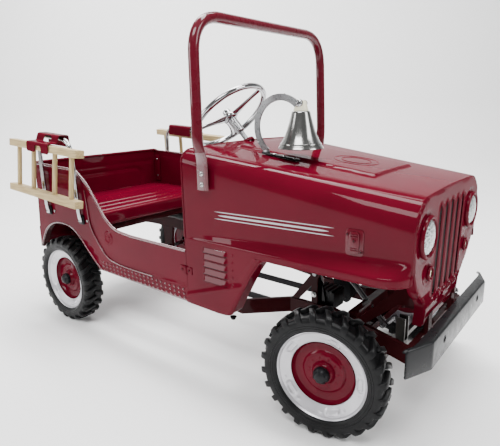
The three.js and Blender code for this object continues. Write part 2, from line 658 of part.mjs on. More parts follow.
function bellShell() {
  const outside = [[38, 419.5], [33, 428], [27.5, 438], [23.5, 448], [20.5, 457], [17.3, 468], [15.4, 476],
    [13.4, 479], [0, 479.5]];
  const inside = [[0, 477.2], [11.8, 476.8], [13.2, 475], [15.1, 467.5], [18.3, 456.4], [21.3, 447.3],
    [25.3, 437], [30.8, 427], [35.6, 419.5]];
  const profile = [...inside, ...outside].map(([radius, z]) => [radius, z - BELL.z]);
  const turn = new THREE.Matrix4().makeBasis(v3(1, 0, 0), v3(0, 0, 1), v3(0, -1, 0))
    .setPosition(BELL.x, BELL.y, BELL.z);
  return join(turned(profile, 20, turn), bellSpacer());
}

function bellClapper() {
  const rod = bar(v3(BELL.x, BELL.y, 430), v3(BELL.x, BELL.y, 474), 1.5, 8);
  const low = new THREE.Matrix4().makeTranslation(BELL.x, BELL.y, 428);
  const ball = solid(new THREE.SphereGeometry(6, 12, 8), low);
  return join(rod, ball);
}

function bellParts() {
  add("bell_bracket", bellBracket(), STEEL());
  add("bell", bellShell(), CHROME());
  add("bell_clapper", bellClapper(), STEEL());
}

// ---------------------------------------------------------------- ladders
// A ladder about the middle of its top rail: X along the rails, Z up the rungs.
function ladder() {
  const rail = (z) => box(-LADDER_LENGTH / 2, LADDER_LENGTH / 2, -10, 10, z - 8, z + 8);
  const rungs = [-107, -43.5, 43.5, 107].map((x) => bar(v3(x, 0, -LADDER_DROP), v3(x, 0, 0), 5, 10));
  return join(rail(0), rail(-LADDER_DROP), ...rungs);
}

// A folded sheet that hooks over the rack tube and over the ladder's top rail.
function ladderSaddle(s) {
  const outline = [[38, 1], [38, 26], [36, 28], [17, 28], [14, 26], [9, 12], [-11.4, 12], [-13.4, 10],
    [-13.4, -10], [-11.4, -10], [-11.4, 9.6], [10.6, 9.6], [16, 25.6], [36, 25.6], [36, 1]];
  return crossSlab(outline.map(([y, z]) => [-s * y, z]), -50, 38);
}

function ladderRack(s) {
  const corners = [v3(-64, s * 191.5, 256), v3(-62, s * 195, 433), v3(70, s * 195, 425),
    v3(69, s * 191.5, 250)];
  const tube = bentTube(corners, 34, 4.7, 8, 30);
  const feet = [[-64, 256], [69, 250]].map(([x, z]) =>
    box(x - 5, x + 32, s * 185.3, s * 188.4, z - 6, z + 8));
  return join(tube, ...feet);
}

function ladderParts() {
  for (const [side, s] of SIDES) {
    add("ladder_rack_" + side, ladderRack(s), CHROME());
    const hung = new THREE.Group();
    hung.position.set(LADDER.x, s * LADDER.y, LADDER.z);
    hung.rotation.set(s * LADDER_LEAN, LADDER_PITCH, 0, "YXZ");
    car.add(hung);
    add("ladder_" + side, ladder(), WOOD(), hung);
    const hooked = new THREE.Group();
    hooked.position.copy(hung.position);
    hooked.rotation.y = LADDER_PITCH;
    car.add(hooked);
    add("ladder_saddle_" + side, ladderSaddle(s), CRIMSON(), hooked);
  }
}

bodyParts();
chassisParts();
rearWheels();
steeringParts();
driveParts();
bellParts();
ladderParts();

// The origin is under the middle of the whole car.
const extent = new THREE.Box3().setFromObject(car);
const centreX = (extent.min.x + extent.max.x) / 2;
car.position.x = -centreX;

const group = new THREE.Group();
group.add(car);
group.updateMatrixWorld(true);

export default group;
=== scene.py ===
"""Looks of the pedal car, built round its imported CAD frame.

Sizes below are millimetres measured from the rear axle (x), the middle plane (y) and the ground (z),
as the car stands: +X front, +Y left, +Z up. place() turns such a point into the shared frame, in metres.
"""

import math

import bmesh
import bpy
import numpy as np
from mathutils import Matrix, Vector
from mathutils.geometry import delaunay_2d_cdt


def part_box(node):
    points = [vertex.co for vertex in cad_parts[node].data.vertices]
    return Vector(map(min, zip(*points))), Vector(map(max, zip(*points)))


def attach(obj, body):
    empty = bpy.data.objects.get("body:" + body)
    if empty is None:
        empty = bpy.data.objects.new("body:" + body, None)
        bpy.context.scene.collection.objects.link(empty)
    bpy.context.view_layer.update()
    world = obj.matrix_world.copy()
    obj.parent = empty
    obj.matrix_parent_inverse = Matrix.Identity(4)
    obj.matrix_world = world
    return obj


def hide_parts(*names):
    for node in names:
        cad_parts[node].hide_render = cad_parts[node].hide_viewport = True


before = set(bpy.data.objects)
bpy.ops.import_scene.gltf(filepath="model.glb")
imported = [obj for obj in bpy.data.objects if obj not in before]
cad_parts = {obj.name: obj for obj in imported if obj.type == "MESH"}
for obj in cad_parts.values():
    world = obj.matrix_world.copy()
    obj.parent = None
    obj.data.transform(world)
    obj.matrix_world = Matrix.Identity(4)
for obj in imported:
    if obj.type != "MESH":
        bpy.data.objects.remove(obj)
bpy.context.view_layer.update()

MM = 0.001
SIDES = (("right", -1), ("left", 1))


def middle(node):
    low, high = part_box(node)
    return (low + high) / 2


REAR_AXLE_X = middle("tyre_rear_right").x
WHEEL_R = middle("tyre_rear_right").z / MM
BODY_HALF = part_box("rear_tub")[1].y / MM  # half width over the body sides
WHEEL_Y = abs(middle("tyre_rear_right").y) / MM
SEAT_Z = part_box("seat_panel")[1].z / MM
HOOD_TOP_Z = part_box("cowl_hood")[1].z / MM
KINGPIN_X = 679
KINGPIN_Y = 142
STUB_REACH = 45.6
REST_STEER = math.radians(9.3)
COLUMN_TOP = Vector((350, 0, 468))
COLUMN_END = Vector((704, 0, 104))
COWL_X = 396
NOSE_X = 797
SHEET = 1.3


def place(point):
    """A point of the car, in mm from the rear axle, in the shared frame."""
    x, y, z = Vector(point)
    return Vector((REAR_AXLE_X + x * MM, y * MM, z * MM))


# ------------------------------------------------------------------ materials
def new_material(name, color, roughness, metallic=0.0, coat=0.0, coat_roughness=0.05, specular=0.5):
    material = bpy.data.materials.new(name)
    material.use_nodes = True
    inputs = material.node_tree.nodes["Principled BSDF"].inputs
    for key, value in (("Base Color", (*color, 1)), ("Roughness", roughness), ("Metallic", metallic),
                       ("Coat Weight", coat), ("Coat Roughness", coat_roughness),
                       ("Specular IOR Level", specular)):
        inputs[key].default_value = value
    return material


def add_node(material, kind, source=None, into="Vector", **values):
    """A new shader node, with a source linked into one input and values set on others."""
    node = material.node_tree.nodes.new("ShaderNode" + kind)
    if source:
        material.node_tree.links.new(source, node.inputs[into])
    for key, value in values.items():
        node.inputs[key].default_value = value
    return node


def feed(material, output, into):
    """Links an output to an input of the material's main shader."""
    shader = material.node_tree.nodes["Principled BSDF"]
    material.node_tree.links.new(output, shader.inputs[into])


def texture(material, kind, stretch=(1, 1, 1), **values):
    """A texture in the object's own space, its scale in cycles per metre."""
    coords = add_node(material, "TexCoord")
    mapping = add_node(material, "Mapping", coords.outputs["Object"], Scale=stretch)
    return add_node(material, kind, mapping.outputs["Vector"], **values)


def noise(material, scale, detail=3.0, stretch=(1, 1, 1)):
    return texture(material, "TexNoise", stretch, Scale=scale, Detail=detail).outputs["Fac"]


def shade_between(material, value, dark, light):
    """Base colour that runs from dark to light with a 0..1 value."""
    ramp = add_node(material, "ValToRGB", value, "Fac")
    for element, position, color in zip(ramp.color_ramp.elements, (0.3, 0.7), (dark, light)):
        element.position = position
        element.color = (*color, 1)
    feed(material, ramp.outputs["Color"], "Base Color")


def roughen(material, value, low, high):
    """Roughness that runs from low to high with the middle of a 0..1 value."""
    limits = {"From Min": 0.3, "From Max": 0.7, "To Min": low, "To Max": high}
    feed(material, add_node(material, "MapRange", value, "Value", **limits).outputs["Result"], "Roughness")


def bump(material, value, strength, distance):
    node = add_node(material, "Bump", value, "Height", Strength=strength, Distance=distance)
    feed(material, node.outputs["Normal"], "Normal")


def scaled(color, factor):
    return tuple(min(1.0, c * factor) for c in color)


def enamel(name, color, roughness=0.2, coat=1.0, specular=0.5):
    """Sprayed gloss paint: a little depth of colour, faint orange peel and fine handling marks."""
    material = new_material(name, color, roughness, coat=coat, coat_roughness=0.04, specular=specular)
    shade_between(material, noise(material, 9), scaled(color, 0.88), scaled(color, 1.1))
    roughen(material, noise(material, 60, 5), roughness * 0.8, roughness * 1.35)
    bump(material, noise(material, 420, 2), 0.008, 0.0004)
    return material


def bare_metal(name, color, low, high, brushed=(1, 1, 1)):
    material = new_material(name, color, low, metallic=1.0)
    grain = noise(material, 160, 4, brushed)
    shade_between(material, noise(material, 30), scaled(color, 0.9), color)
    roughen(material, grain, low, high)
    bump(material, grain, 0.04, 0.0003)
    return material


def rubber(name, color):
    material = new_material(name, color, 0.45, specular=0.16)
    shade_between(material, noise(material, 45, 6), scaled(color, 0.75), scaled(color, 1.7))
    roughen(material, noise(material, 120, 4), 0.3, 0.46)
    bump(material, noise(material, 1500, 3), 0.12, 0.0003)
    return material


def wood(name, grain_stretch):
    material = new_material(name, (0.50, 0.38, 0.19), 0.55, specular=0.3)
    grain = noise(material, 60, 6, grain_stretch)
    shade_between(material, grain, (0.33, 0.235, 0.105), (0.56, 0.43, 0.225))
    roughen(material, grain, 0.48, 0.66)
    bump(material, grain, 0.25, 0.0005)
    return material


def pressed_glass(name, color):
    """A moulded lens over a bright reflector."""
    material = new_material(name, color, 0.14, metallic=0.55, coat=0.8)
    cells = texture(material, "TexVoronoi", Scale=260).outputs["Distance"]
    shade_between(material, cells, scaled(color, 0.35), scaled(color, 1.25))
    bump(material, cells, 0.8, 0.0016)
    return material


CRIMSON = (0.092, 0.0021, 0.0102)
RED = enamel("crimson_enamel", CRIMSON, 0.3, 0.26, 0.0)
HOOP_RED = enamel("crimson_tube", CRIMSON, 0.26, 0.6, 0.1)
EDGE_RED = enamel("crimson_rolled_edges", CRIMSON, 0.22, 1.0, 0.5)
BUMPER_PAINT = enamel("bumper_enamel", (0.0105, 0.0108, 0.0118), 0.3, 0.24, 0.05)
CHASSIS = enamel("chassis_paint", (0.036, 0.0065, 0.008), 0.36, 0.14, 0.0)
BLACK = enamel("black_enamel", (0.006, 0.006, 0.007), 0.3, 0.3, 0.0)
DARK_PLASTIC = rubber("moulded_black", (0.006, 0.006, 0.007))
TYRE = rubber("tyre_rubber", (0.0048, 0.0048, 0.0052))
RIM_PAINT = bare_metal("rim_paint", (0.58, 0.57, 0.60), 0.3, 0.42)
RIM_PAINT.node_tree.nodes["Principled BSDF"].inputs["Metallic"].default_value = 0.55
CHROME = bare_metal("chrome", (0.45, 0.45, 0.46), 0.06, 0.12)
NICKEL = bare_metal("nickel", (0.29, 0.29, 0.28), 0.14, 0.22, (1, 1, 8))
STEEL = bare_metal("brushed_strap", (0.2, 0.2, 0.205), 0.22, 0.36, (1, 6, 1))
GREASED = bare_metal("greased_steel", (0.07, 0.065, 0.06), 0.3, 0.5)
ZINC = bare_metal("zinc_screws", (0.50, 0.50, 0.49), 0.2, 0.34)
SILVER_LINE = enamel("silver_line", (0.42, 0.43, 0.45), 0.3, 0.4)
WOOD = wood("pale_wood", (0.35, 6, 6))
WOOD_UPRIGHT = wood("pale_wood_upright", (6, 6, 0.35))
LENS = pressed_glass("headlight_lens", (0.36, 0.40, 0.40))
AMBER = pressed_glass("marker_lens", (0.70, 0.66, 0.40))
CREAM = enamel("cream_plastic", (0.74, 0.70, 0.52), 0.4, 0.2)
# Painted shade: near-black paint put in screw recesses, under the louvre lips and behind the grille slots,
# where there is only shade.
PAINTED_SHADE = new_material("painted_shade_black", (0.006, 0.004, 0.004), 0.9)
bump(PAINTED_SHADE, noise(PAINTED_SHADE, 300), 0.1, 0.0003)


# ------------------------------------------------------------------ meshes
def piece(name, part, material=RED, body="car", replaces=(), sheet=0.0, bevel=0.0,
          angle=38):
    """A piece from (points, faces) in mm, smooth but for its sharp edges. sheet thickens an open surface."""
    points, faces = part
    mesh = bpy.data.meshes.new(name)
    mesh.from_pydata([place(p) for p in points], [], [tuple(int(i) for i in f) for f in faces])
    mesh.validate()
    mesh.materials.append(material)
    obj = bpy.data.objects.new(name, mesh)
    bpy.context.scene.collection.objects.link(obj)
    if sheet:
        thicken = obj.modifiers.new("thickness", "SOLIDIFY")
        thicken.thickness = sheet * MM
        thicken.offset = -1
    if bevel:
        add_bevel(obj, bevel)
    if sheet or bevel:
        bake_modifiers(obj)
    obj.data.shade_smooth()
    obj.data.set_sharp_from_angle(angle=math.radians(angle))
    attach(obj, body)
    if replaces:
        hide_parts(*replaces)


def add_bevel(obj, width):
    modifier = obj.modifiers.new("edges", "BEVEL")
    modifier.width = width * MM
    modifier.segments = 2
    modifier.limit_method = "ANGLE"
    modifier.angle_limit = math.radians(34)
    modifier.harden_normals = False


def bake_modifiers(obj):
    bpy.context.view_layer.update()
    evaluated = obj.evaluated_get(bpy.context.evaluated_depsgraph_get())
    mesh = bpy.data.meshes.new_from_object(evaluated)
    obj.modifiers.clear()
    obj.data = mesh


def merge(*parts):
    """Several (points, faces) as one."""
    points, faces = [], []
    for part_points, part_faces in parts:
        start = len(points)
        points.extend(Vector(p) for p in part_points)
        faces.extend([i + start for i in face] for face in part_faces)
    return points, faces


def faced(faces, flip):
    """The faces, turned over if flip is set."""
    return [list(f)[::-1] if flip else list(f) for f in faces]


def moved(part, matrix):
    """A part carried by a matrix. A mirrored one has its faces turned over."""
    points, faces = part
    mirrored = matrix.to_3x3().determinant() < 0
    return [matrix @ Vector(p) for p in points], faced(faces, mirrored)


def grid(rows, flip=False):
    """Rows of points as one sheet of quads."""
    size = len(rows[0])
    faces = [[a, a + size, a + size + 1, a + 1]
             for i in range(len(rows) - 1) for a in range(i * size, (i + 1) * size - 1)]
    return [p for row in rows for p in row], faced(faces, flip)


def smooth_line(points, steps=8):
    """A Catmull-Rom curve through the points."""
    pts = [Vector(p) for p in points]
    ends = [pts[0] * 2 - pts[1], *pts, pts[-1] * 2 - pts[-2]]
    line = []
    for a, b, c, d in zip(ends, ends[1:], ends[2:], ends[3:]):
        for k in range(steps):
            t = k / steps
            line.append(0.5 * (2 * b + (c - a) * t + (2 * a - 5 * b + 4 * c - d) * t * t
                               + (3 * b - a - 3 * c + d) * t ** 3))
    return [*line, pts[-1]]


def rounded(corners, radius, steps=8):
    """A line through corner points, with round inner corners."""
    pts = [Vector(p) for p in corners]
    line = [pts[0]]
    for before, corner, after in zip(pts, pts[1:], pts[2:]):
        reach = min(radius, (corner - before).length * 0.49, (after - corner).length * 0.49)
        start = corner + (before - corner).normalized() * reach
        end = corner + (after - corner).normalized() * reach
        for k in range(steps + 1):
            t = k / steps
            line.append(start * (1 - t) ** 2 + corner * 2 * t * (1 - t) + end * t * t)
    return [*line, pts[-1]]


def resampled(line, spacing):
    out = [line[0]]
    for a, b in zip(line, line[1:]):
        count = max(1, math.ceil((b - a).length / spacing))
        out.extend(a.lerp(b, k / count) for k in range(1, count + 1))
    return out


def ellipse(wide, high, sides=14):
    turns = [2 * math.pi * k / sides for k in range(sides)]
    return [(wide * math.cos(a), high * math.sin(a)) for a in turns]


def arc(centre, wide, high, start, end, count):
    """Points on an ellipse between two angles in radians."""
    x, y = centre
    return [(x + wide * math.cos(a), y + high * math.sin(a)) for a in np.linspace(start, end, count)]


def sweep(path, section, closed=False, up=Vector((0, 0, 1))):
    """A section (a function of the index along the path, giving points across) carried along a path."""
    path = [Vector(p) for p in path]
    count = len(path)
    rings = []
    across = None
    for i, point in enumerate(path):
        before = path[(i - 1) % count] if closed or i else path[i]
        after = path[(i + 1) % count] if closed or i < count - 1 else path[i]
        along = (after - before).normalized()
        if across is None:
            across = along.cross(up)
            if across.length < 1e-3:
                across = along.cross(Vector((1, 0, 0)))
        across = (across - along * across.dot(along)).normalized()
        over = across.cross(along)
        rings.append([point + across * a + over * b for a, b in section(i)])
    size = len(rings[0])
    points = [p for ring in rings for p in ring]
    faces = []
    for i in range(count if closed else count - 1):
        j = (i + 1) % count
        for k in range(size):
            m = (k + 1) % size
            faces.append([i * size + k, i * size + m, j * size + m, j * size + k])
    if not closed:
        faces.append(list(range(size))[::-1])
        faces.append([(count - 1) * size + k for k in range(size)])
    return points, faces


def tube(path, radius, sides=14, closed=False):
    ring = ellipse(radius, radius, sides)
    return sweep(path, lambda i: ring, closed)


def lathe(profile, sides, matrix=Matrix.Identity(4)):
    """Turned about the local Z axis: profile points are (radius, height). It closes at the axis."""
    points, rows = [], []
    for radius, height in profile:
        if radius < 1e-6:
            rows.append([len(points)] * sides)
            points.append((0, 0, height))
            continue
        rows.append(list(range(len(points), len(points) + sides)))
        points.extend((x, y, height) for x, y in ellipse(radius, radius, sides))
    faces = []
    for low, high in zip(rows, rows[1:]):
        for k in range(sides):
            m = (k + 1) % sides
            face = list(dict.fromkeys((low[k], low[m], high[m], high[k])))
            if len(face) > 2:
                faces.append(face)
    return moved((points, faces), matrix)


def block(x0, x1, y0, y1, z0, z1):
    points = [(x, y, z) for x in (x0, x1) for y in (min(y0, y1), max(y0, y1)) for z in (z0, z1)]
    return points, [(0, 1, 3, 2), (4, 6, 7, 5), (0, 4, 5, 1), (2, 3, 7, 6), (0, 2, 6, 4), (1, 5, 7, 3)]


def rounded_plate(width, height, radius, thick):
    """A plate with round corners, centred on the origin, its back at z = 0."""
    loop = []
    for quarter, (cx, cy) in enumerate(((1, 1), (-1, 1), (-1, -1), (1, -1))):
        centre = (cx * (width / 2 - radius), cy * (height / 2 - radius))
        loop += arc(centre, radius, radius, quarter * math.pi / 2, (quarter + 1) * math.pi / 2, 6)
    count = len(loop)
    points = [(x, y, z) for z in (0, thick) for x, y in loop]
    faces = [[k, (k + 1) % count, count + (k + 1) % count, count + k] for k in range(count)]
    return points, [*faces, list(range(count))[::-1], list(range(count, 2 * count))]


def toward(origin, direction, turn=0.0):
    """A matrix whose Z axis points along a direction."""
    rotation = Vector(direction).to_track_quat("Z", "Y").to_matrix().to_4x4()
    return Matrix.Translation(origin) @ rotation @ Matrix.Rotation(turn, 4, "Z")


def on_side(s, x=0.0, y=0.0, z=0.0):
    """A matrix that stands a flat part up on side s of the car: its Y points up and its Z outward."""
    return Matrix(((1, 0, 0, x), (0, 0, s, y), (0, 1, 0, z), (0, 0, 0, 1)))


def bolt(origin, direction, across=10, high=4):
    """A hexagon bolt head on a washer."""
    r = across / 2
    washer = lathe([(0, 0), (r * 1.35, 0), (r * 1.35, 0.7), (r * 1.2, 1.0), (0, 1.0)], 24)
    head = lathe([(0, 1), (r, 1), (r, high - 0.6), (r * 0.86, high), (0, high)], 6)
    return moved(merge(washer, head), toward(origin, direction))


def screw(origin, direction, radius):
    """A round-headed screw and its cross recess."""
    dome = [(radius, 0), (radius, 0.5), *arc((0, 0.5), radius, radius * 0.45, 0.15, 1.2, 6)]
    head = lathe([(0, 0), *dome, (0, 0.5 + radius * 0.45)], 20)
    reach, half, low, high = radius * 0.6, 0.45, radius * 0.3, radius * 0.47 + 0.6
    recess = merge(block(-reach, reach, -half, half, low, high), block(-half, half, -reach, reach, low, high))
    matrix = toward(origin, direction, 0.5)
    return moved(head, matrix), moved(recess, matrix)


def fasten(name, at, direction, radius, material=ZINC, body="car"):
    """A screw or rivet as two pieces: the head and its recess, painted near black as shade, named after it.
    """
    head, recess = screw(at, direction, radius)
    piece(name, head, material, body)
    recess_name = name.replace("screw", "recess").replace("rivet", "rivet_recess")
    # Painted shade: the cross recess is drawn in near black to stand for the shade inside it.
    piece(recess_name, recess, PAINTED_SHADE, body)


# ------------------------------------------------------------------ pressed panels
def inside(points, polygon):
    x, y = points[:, 0], points[:, 1]
    result = np.zeros(len(points), bool)
    for (x0, y0), (x1, y1) in zip(polygon, np.roll(polygon, -1, 0)):
        crosses = (y0 > y) != (y1 > y)
        with np.errstate(divide="ignore", invalid="ignore"):
            at = (x1 - x0) * (y - y0) / (y1 - y0) + x0
        result ^= crosses & (x < at)
    return result


def between(points, outline, holes):
    """Which points lie inside the outline and outside its holes."""
    keep = inside(points, outline)
    for hole in holes:
        keep &= ~inside(points, hole)
    return keep


def distance(points, line, closed=False):
    """The distance of each point to a line of points."""
    line = np.array([(p[0], p[1]) for p in line], float)
    best = np.full(len(points), 1e9)
    ends = np.roll(line, -1, 0) if closed else line[1:]
    for a, b in zip(line, ends):
        step = b - a
        length = max(float(step @ step), 1e-12)
        t = np.clip(((points - a) @ step) / length, 0, 1)
        best = np.minimum(best, np.hypot(*(points - a - t[:, None] * step).T))
    return best


def flat_mesh(outline, spacing, holes=(), fine=()):
    """Points and triangles that fill an outline less its holes. fine holds denser (box, spacing) areas."""
    outline, *holes = [np.array([(p[0], p[1]) for p in loop], float) for loop in (outline, *holes)]
    rims = []
    for loop in (outline, *holes):
        ring = resampled([Vector(p) for p in [*loop, loop[0]]], spacing * 0.8)[:-1]
        rims.append(np.array([(p.x, p.y) for p in ring]))
    clouds = [(outline.min(0), outline.max(0), spacing)]
    clouds += [(np.array(low), np.array(high), step) for (low, high), step in fine]
    inner = []
    for index, (low, high, step) in enumerate(clouds):
        xs = np.arange(low[0] + step / 2, high[0], step)
        ys = np.arange(low[1] + step / 2, high[1], step * 0.866)
        gx, gy = np.meshgrid(xs, ys)
        gx = gx + (np.arange(len(ys)) % 2)[:, None] * step / 2
        cloud = np.column_stack([gx.ravel(), gy.ravel()])
        keep = between(cloud, outline, holes)
        for later_low, later_high, _ in clouds[index + 1:]:
            keep &= ~((cloud > later_low) & (cloud < later_high)).all(1)
        cloud = cloud[keep]
        for loop in (outline, *holes):
            cloud = cloud[distance(cloud, loop, True) > step * 0.45]
        inner.append(cloud)
    edges, start = [], 0
    for rim in rims:
        edges += [(start + k, start + (k + 1) % len(rim)) for k in range(len(rim))]
        start += len(rim)
    found = delaunay_2d_cdt([Vector(p) for p in np.vstack([*rims, *inner])], edges, [], 0, 1e-5)
    verts = np.array([(v.x, v.y) for v in found[0]])
    tris = np.array(found[2])
    return verts, tris[between(verts[tris].mean(1), outline, holes)]


def side_panel(outline, spacing, fine, height, plane, s):
    """A pressed sheet in X and Z at a body side. height gives how far each point stands out."""
    flat, tris = flat_mesh(outline, spacing, fine=fine)
    points = [(x, s * (plane + h), z) for (x, z), h in zip(flat, height(flat))]
    return points, faced(tris, s > 0)


def side_line(line, plane, s):
    """A line in X and Z, put on side s of the car."""
    return [(x, s * plane, z) for x, z in line]


def ridge(d, half_width, high):
    return high * np.exp(-(d / half_width) ** 2)


def step_up(value, edge, soft):
    """0 below the edge, 1 above it, with a smooth step."""
    t = np.clip((value - edge) / soft + 0.5, 0, 1)
    return t * t * (3 - 2 * t)


def clamp(t):
    return min(1.0, max(0.0, t))


def rounded_box_distance(points, centre, half, radius):
    """Distance outside a rounded rectangle, negative inside."""
    q = np.abs(points - np.array(centre)) - np.array(half) + radius
    return np.hypot(*np.maximum(q, 0).T) + np.minimum(q.max(1), 0) - radius


# ------------------------------------------------------------------ rear tub
ARCH = smooth_line([(-127, 157), (-94, 203), (-56, 224), (-8, 229), (36, 216), (85, 173), (122, 143)])
SILL = smooth_line([(236, 237), (187, 243), (155, 262), (125, 297), (94, 332), (57, 358)])
SIDE_BEAD = smooth_line([(90, 318), (94, 290), (98, 252), (107, 230), (131, 197), (152, 180), (173, 172),
                         (215, 168), (300, 167)])
FILLER = (160, 222)
TUB_FRONT = COWL_X - 1.6
TUB_FOOT_Z = 154
TUB_REAR_X = -129  # of the rear panel at its foot
REAR_SLOPE = 21 / 211
DOT_PITCH = 12.5


def tub_outline():
    return [(-130, TUB_FOOT_Z), *ARCH, (TUB_FRONT - 4, 137), (TUB_FRONT, 137), (TUB_FRONT, 235), *SILL,
            (-107, 365)]


def tub_relief(p):
    """The side's bead, the ribs under its top and over its sill, the filler cap and the fold at its foot."""
    h = ridge(distance(p, SIDE_BEAD), 4.2, 1.2)
    h = h + ridge(distance(p, [(-96, 351), (48, 345)]), 3, 1.4)
    h = h + ridge(distance(p, [(296, 170), (388, 167)]), 2.2, 1.6)
    reach = np.hypot(p[:, 0] - FILLER[0], p[:, 1] - FILLER[1])
    h = h + 1.6 * step_up(-reach, -14, 3) - 1.2 * step_up(-reach, -10, 2) + 1.6 * step_up(-reach, -5, 2)
    petals = np.arctan2(p[:, 1] - FILLER[1], p[:, 0] - FILLER[0])
    h = h + 0.9 * np.clip(np.cos(6 * petals), 0, 1) * step_up(-reach, -9.5, 1.5) * step_up(reach, 5.5, 1.5)
    fold = distance(p, [(124, 143), (390, 137)])
    return h - 2.2 * np.clip(1 - fold / 3.5, 0, 1) ** 2


def tub_sides():
    tread = (((118, 139), (391, 169)), 1.7)
    filler = (((143, 205), (177, 239)), 1.4)
    top = [(-107, 364), *reversed(SILL), (TUB_FRONT, 235)]
    arch = [(x, z + 0.4) for x, z in ARCH]
    foot = [(x, 137.8 + (390 - x) * 0.022) for x in (122, 260, TUB_FRONT - 1)]
    rolls = (("tub_edge_", top, -2, 2.9, 14), ("arch_edge_", arch, -1.6, 2.2, 14),
             ("sill_fold_", foot, -3, 2.0, 14), ("side_bead_", resampled(SIDE_BEAD, 5), 1.1, 1.7, 10))
    for side, s in SIDES:
        panel = side_panel(tub_outline(), 4.2, (tread, filler), tub_relief, BODY_HALF - 1, s)
        piece("tub_side_" + side, panel, replaces=("rear_tub",), sheet=SHEET)
        for name, line, out, radius, sides in rolls:
            piece(name + side, tube(side_line(line, BODY_HALF + out, s), radius, sides), EDGE_RED)
        piece("tread_dots_" + side, tread_dots(s), EDGE_RED)
        inner_arch(side, s)


def dot_rows():
    """Centres of the raised dots on the step plate, three staggered rows in X and Z."""
    for row in range(3):
        for k in range(22):
            x = 134 - 5 * row + DOT_PITCH * (k + 0.5 * (row % 2))
            if x < 388:
                yield x, 162.5 - 8.2 * row - (x - 130) * 0.012


def tread_dots(s):
    dome = [(0, -1), (2.5, -1), (2.5, 0.2), (2.1, 0.9), (1.2, 1.5), (0, 1.8)]
    return merge(*[lathe(dome, 10, toward((x, s * (BODY_HALF - 0.4), z), (0, s, 0))) for x, z in dot_rows()])


def inner_arch(side, s):
    """The curved strip over the tyre that closes the wheel arch on the inside."""
    rows = [[(p.x, s * y, p.y + 1) for p in resampled(ARCH, 8)] for y in (BODY_HALF - 3, BODY_HALF - 17)]
    piece("arch_flange_" + side, grid(rows, s > 0), CHASSIS, sheet=1.2)


def rear_panel():
    half = BODY_HALF - 3
    flat, tris = flat_mesh([(-half, TUB_FOOT_Z), (half, TUB_FOOT_Z), (half, 366), (-half, 366)], 6)
    frame_line = rounded_box_distance(flat, (0, 258), (132, 62), 26)
    h = ridge(np.abs(frame_line), 4, 2.4)
    for z in (186, 336):
        h = h + ridge(distance(flat, [(-168, z), (168, z)]), 3.5, 1.8) * (np.abs(flat[:, 0]) < 172)
    points = [(TUB_REAR_X + (z - TUB_FOOT_Z) * REAR_SLOPE - out, y, z) for out, (y, z) in zip(h, flat)]
    piece("tub_rear_panel", (points, faced(tris, True)), sheet=SHEET)
    roll = [(-100, -half, 365), (-108, 1 - half, 366.5), (-108, half - 1, 366.5), (-100, half, 365)]
    piece("tub_top_roll", tube(rounded(roll, 6), 3.4))
    piece("tub_bottom_roll", tube([(-128, -(half - 2), 155), (-128, half - 2, 155)], 2.4))
    for side, s in SIDES:
        corner = [(TUB_REAR_X + (z - TUB_FOOT_Z) * REAR_SLOPE, z) for z in (155, 260, 364)]
        piece("tub_corner_" + side, tube(side_line(corner, BODY_HALF - 2.5, s), 2.2))
        strip = block(-108, -86, s * (BODY_HALF - 6), s * (BODY_HALF - 4), 276, 352)
        piece("tub_inner_strip_" + side, strip, bevel=0.7)
        for z in (290, 338):
            fasten(f"tub_rivet_{side}_{z}", (-97, s * (BODY_HALF - 6), z), (0, -s, 0), 3)


def seat():
    """The bench: a sheet with cross beads, turned down at its front edge."""
    half = BODY_HALF - 3.2
    front = 128
    line = []
    for x in np.arange(-113, front - 4, 2.0):
        bead = sum(1.8 * math.exp(-((x - at) / 3.6) ** 2) for at in (-53, 24, 60, 96))
        line.append((x, SEAT_Z - 2.6 + bead))
    line += arc((front - 5, SEAT_Z - 6), 5, 5, math.pi / 2 - 0.1, math.pi / 2 - 1.5, 6)
    line += [(front, 256), (front, 248), (front, 242), (front - 1, 240), (front - 6, 239.5)]
    rows = [[(x, y, z) for y in np.linspace(-half, half, 24)] for x, z in line]
    piece("seat_sheet", grid(rows), replaces=("seat_panel",), sheet=SHEET)
    bar = block(114, 121, -(half - 1), half - 1, 224, 238)
    piece("seat_stiffener", bar, CHASSIS, bevel=1.2)
    for side, s in SIDES:
        rest = block(-100, 112, s * (half - 10), s * (half + 1), 261, 264.5)
        piece("seat_ledge_" + side, rest, CHASSIS, bevel=0.8)


def door_hinges():
    """The strap hinge pressed over the seam between tub and cowl."""
    for side, s in SIDES:
        y = s * (BODY_HALF + 0.3)
        plates = [block(x0, x1, y - s * 1.4, y + s * 1.1, 193, 207) for x0, x1 in ((380, 393.5), (397, 411))]
        barrel = lathe([(0, 0), (2.6, 0), (2.6, 17), (0, 17)], 16,
                       toward((COWL_X - 0.8, y + s * 0.8, 191.5), (0, 0, 1)))
        piece("seam_hinge_" + side, merge(*plates, barrel), bevel=0.6)
        for x in (386, 404):
            fasten(f"hinge_screw_{side}_{x}", (x, y + s * 1.0, 200), (0, s, 0), 2.6, RED)


# ------------------------------------------------------------------ hood and cowl
NOSE_HALF = 155  # half width of the hood at its front
TAPER_X = 402  # where the hood starts to narrow
NOSE_TOP_Z = 370
SHELF_Z = 263  # of the fender
FENDER_TURN_X = 752  # where the fender's front corner starts
CAMBER = 5
LID_HEIGHT = 4.2
LID_POINTS = 46  # points of a hood section that lie on its flat top
FOCUS_Z = 300  # the height that the front outline shrinks towards


def hood_half(x):
    return BODY_HALF - (BODY_HALF - NOSE_HALF) * clamp((x - TAPER_X) / (NOSE_X - TAPER_X))


def hood_top(x):
    return HOOD_TOP_Z - 1 - (HOOD_TOP_Z - 1 - NOSE_TOP_Z) * (x - COWL_X) / (NOSE_X - COWL_X)


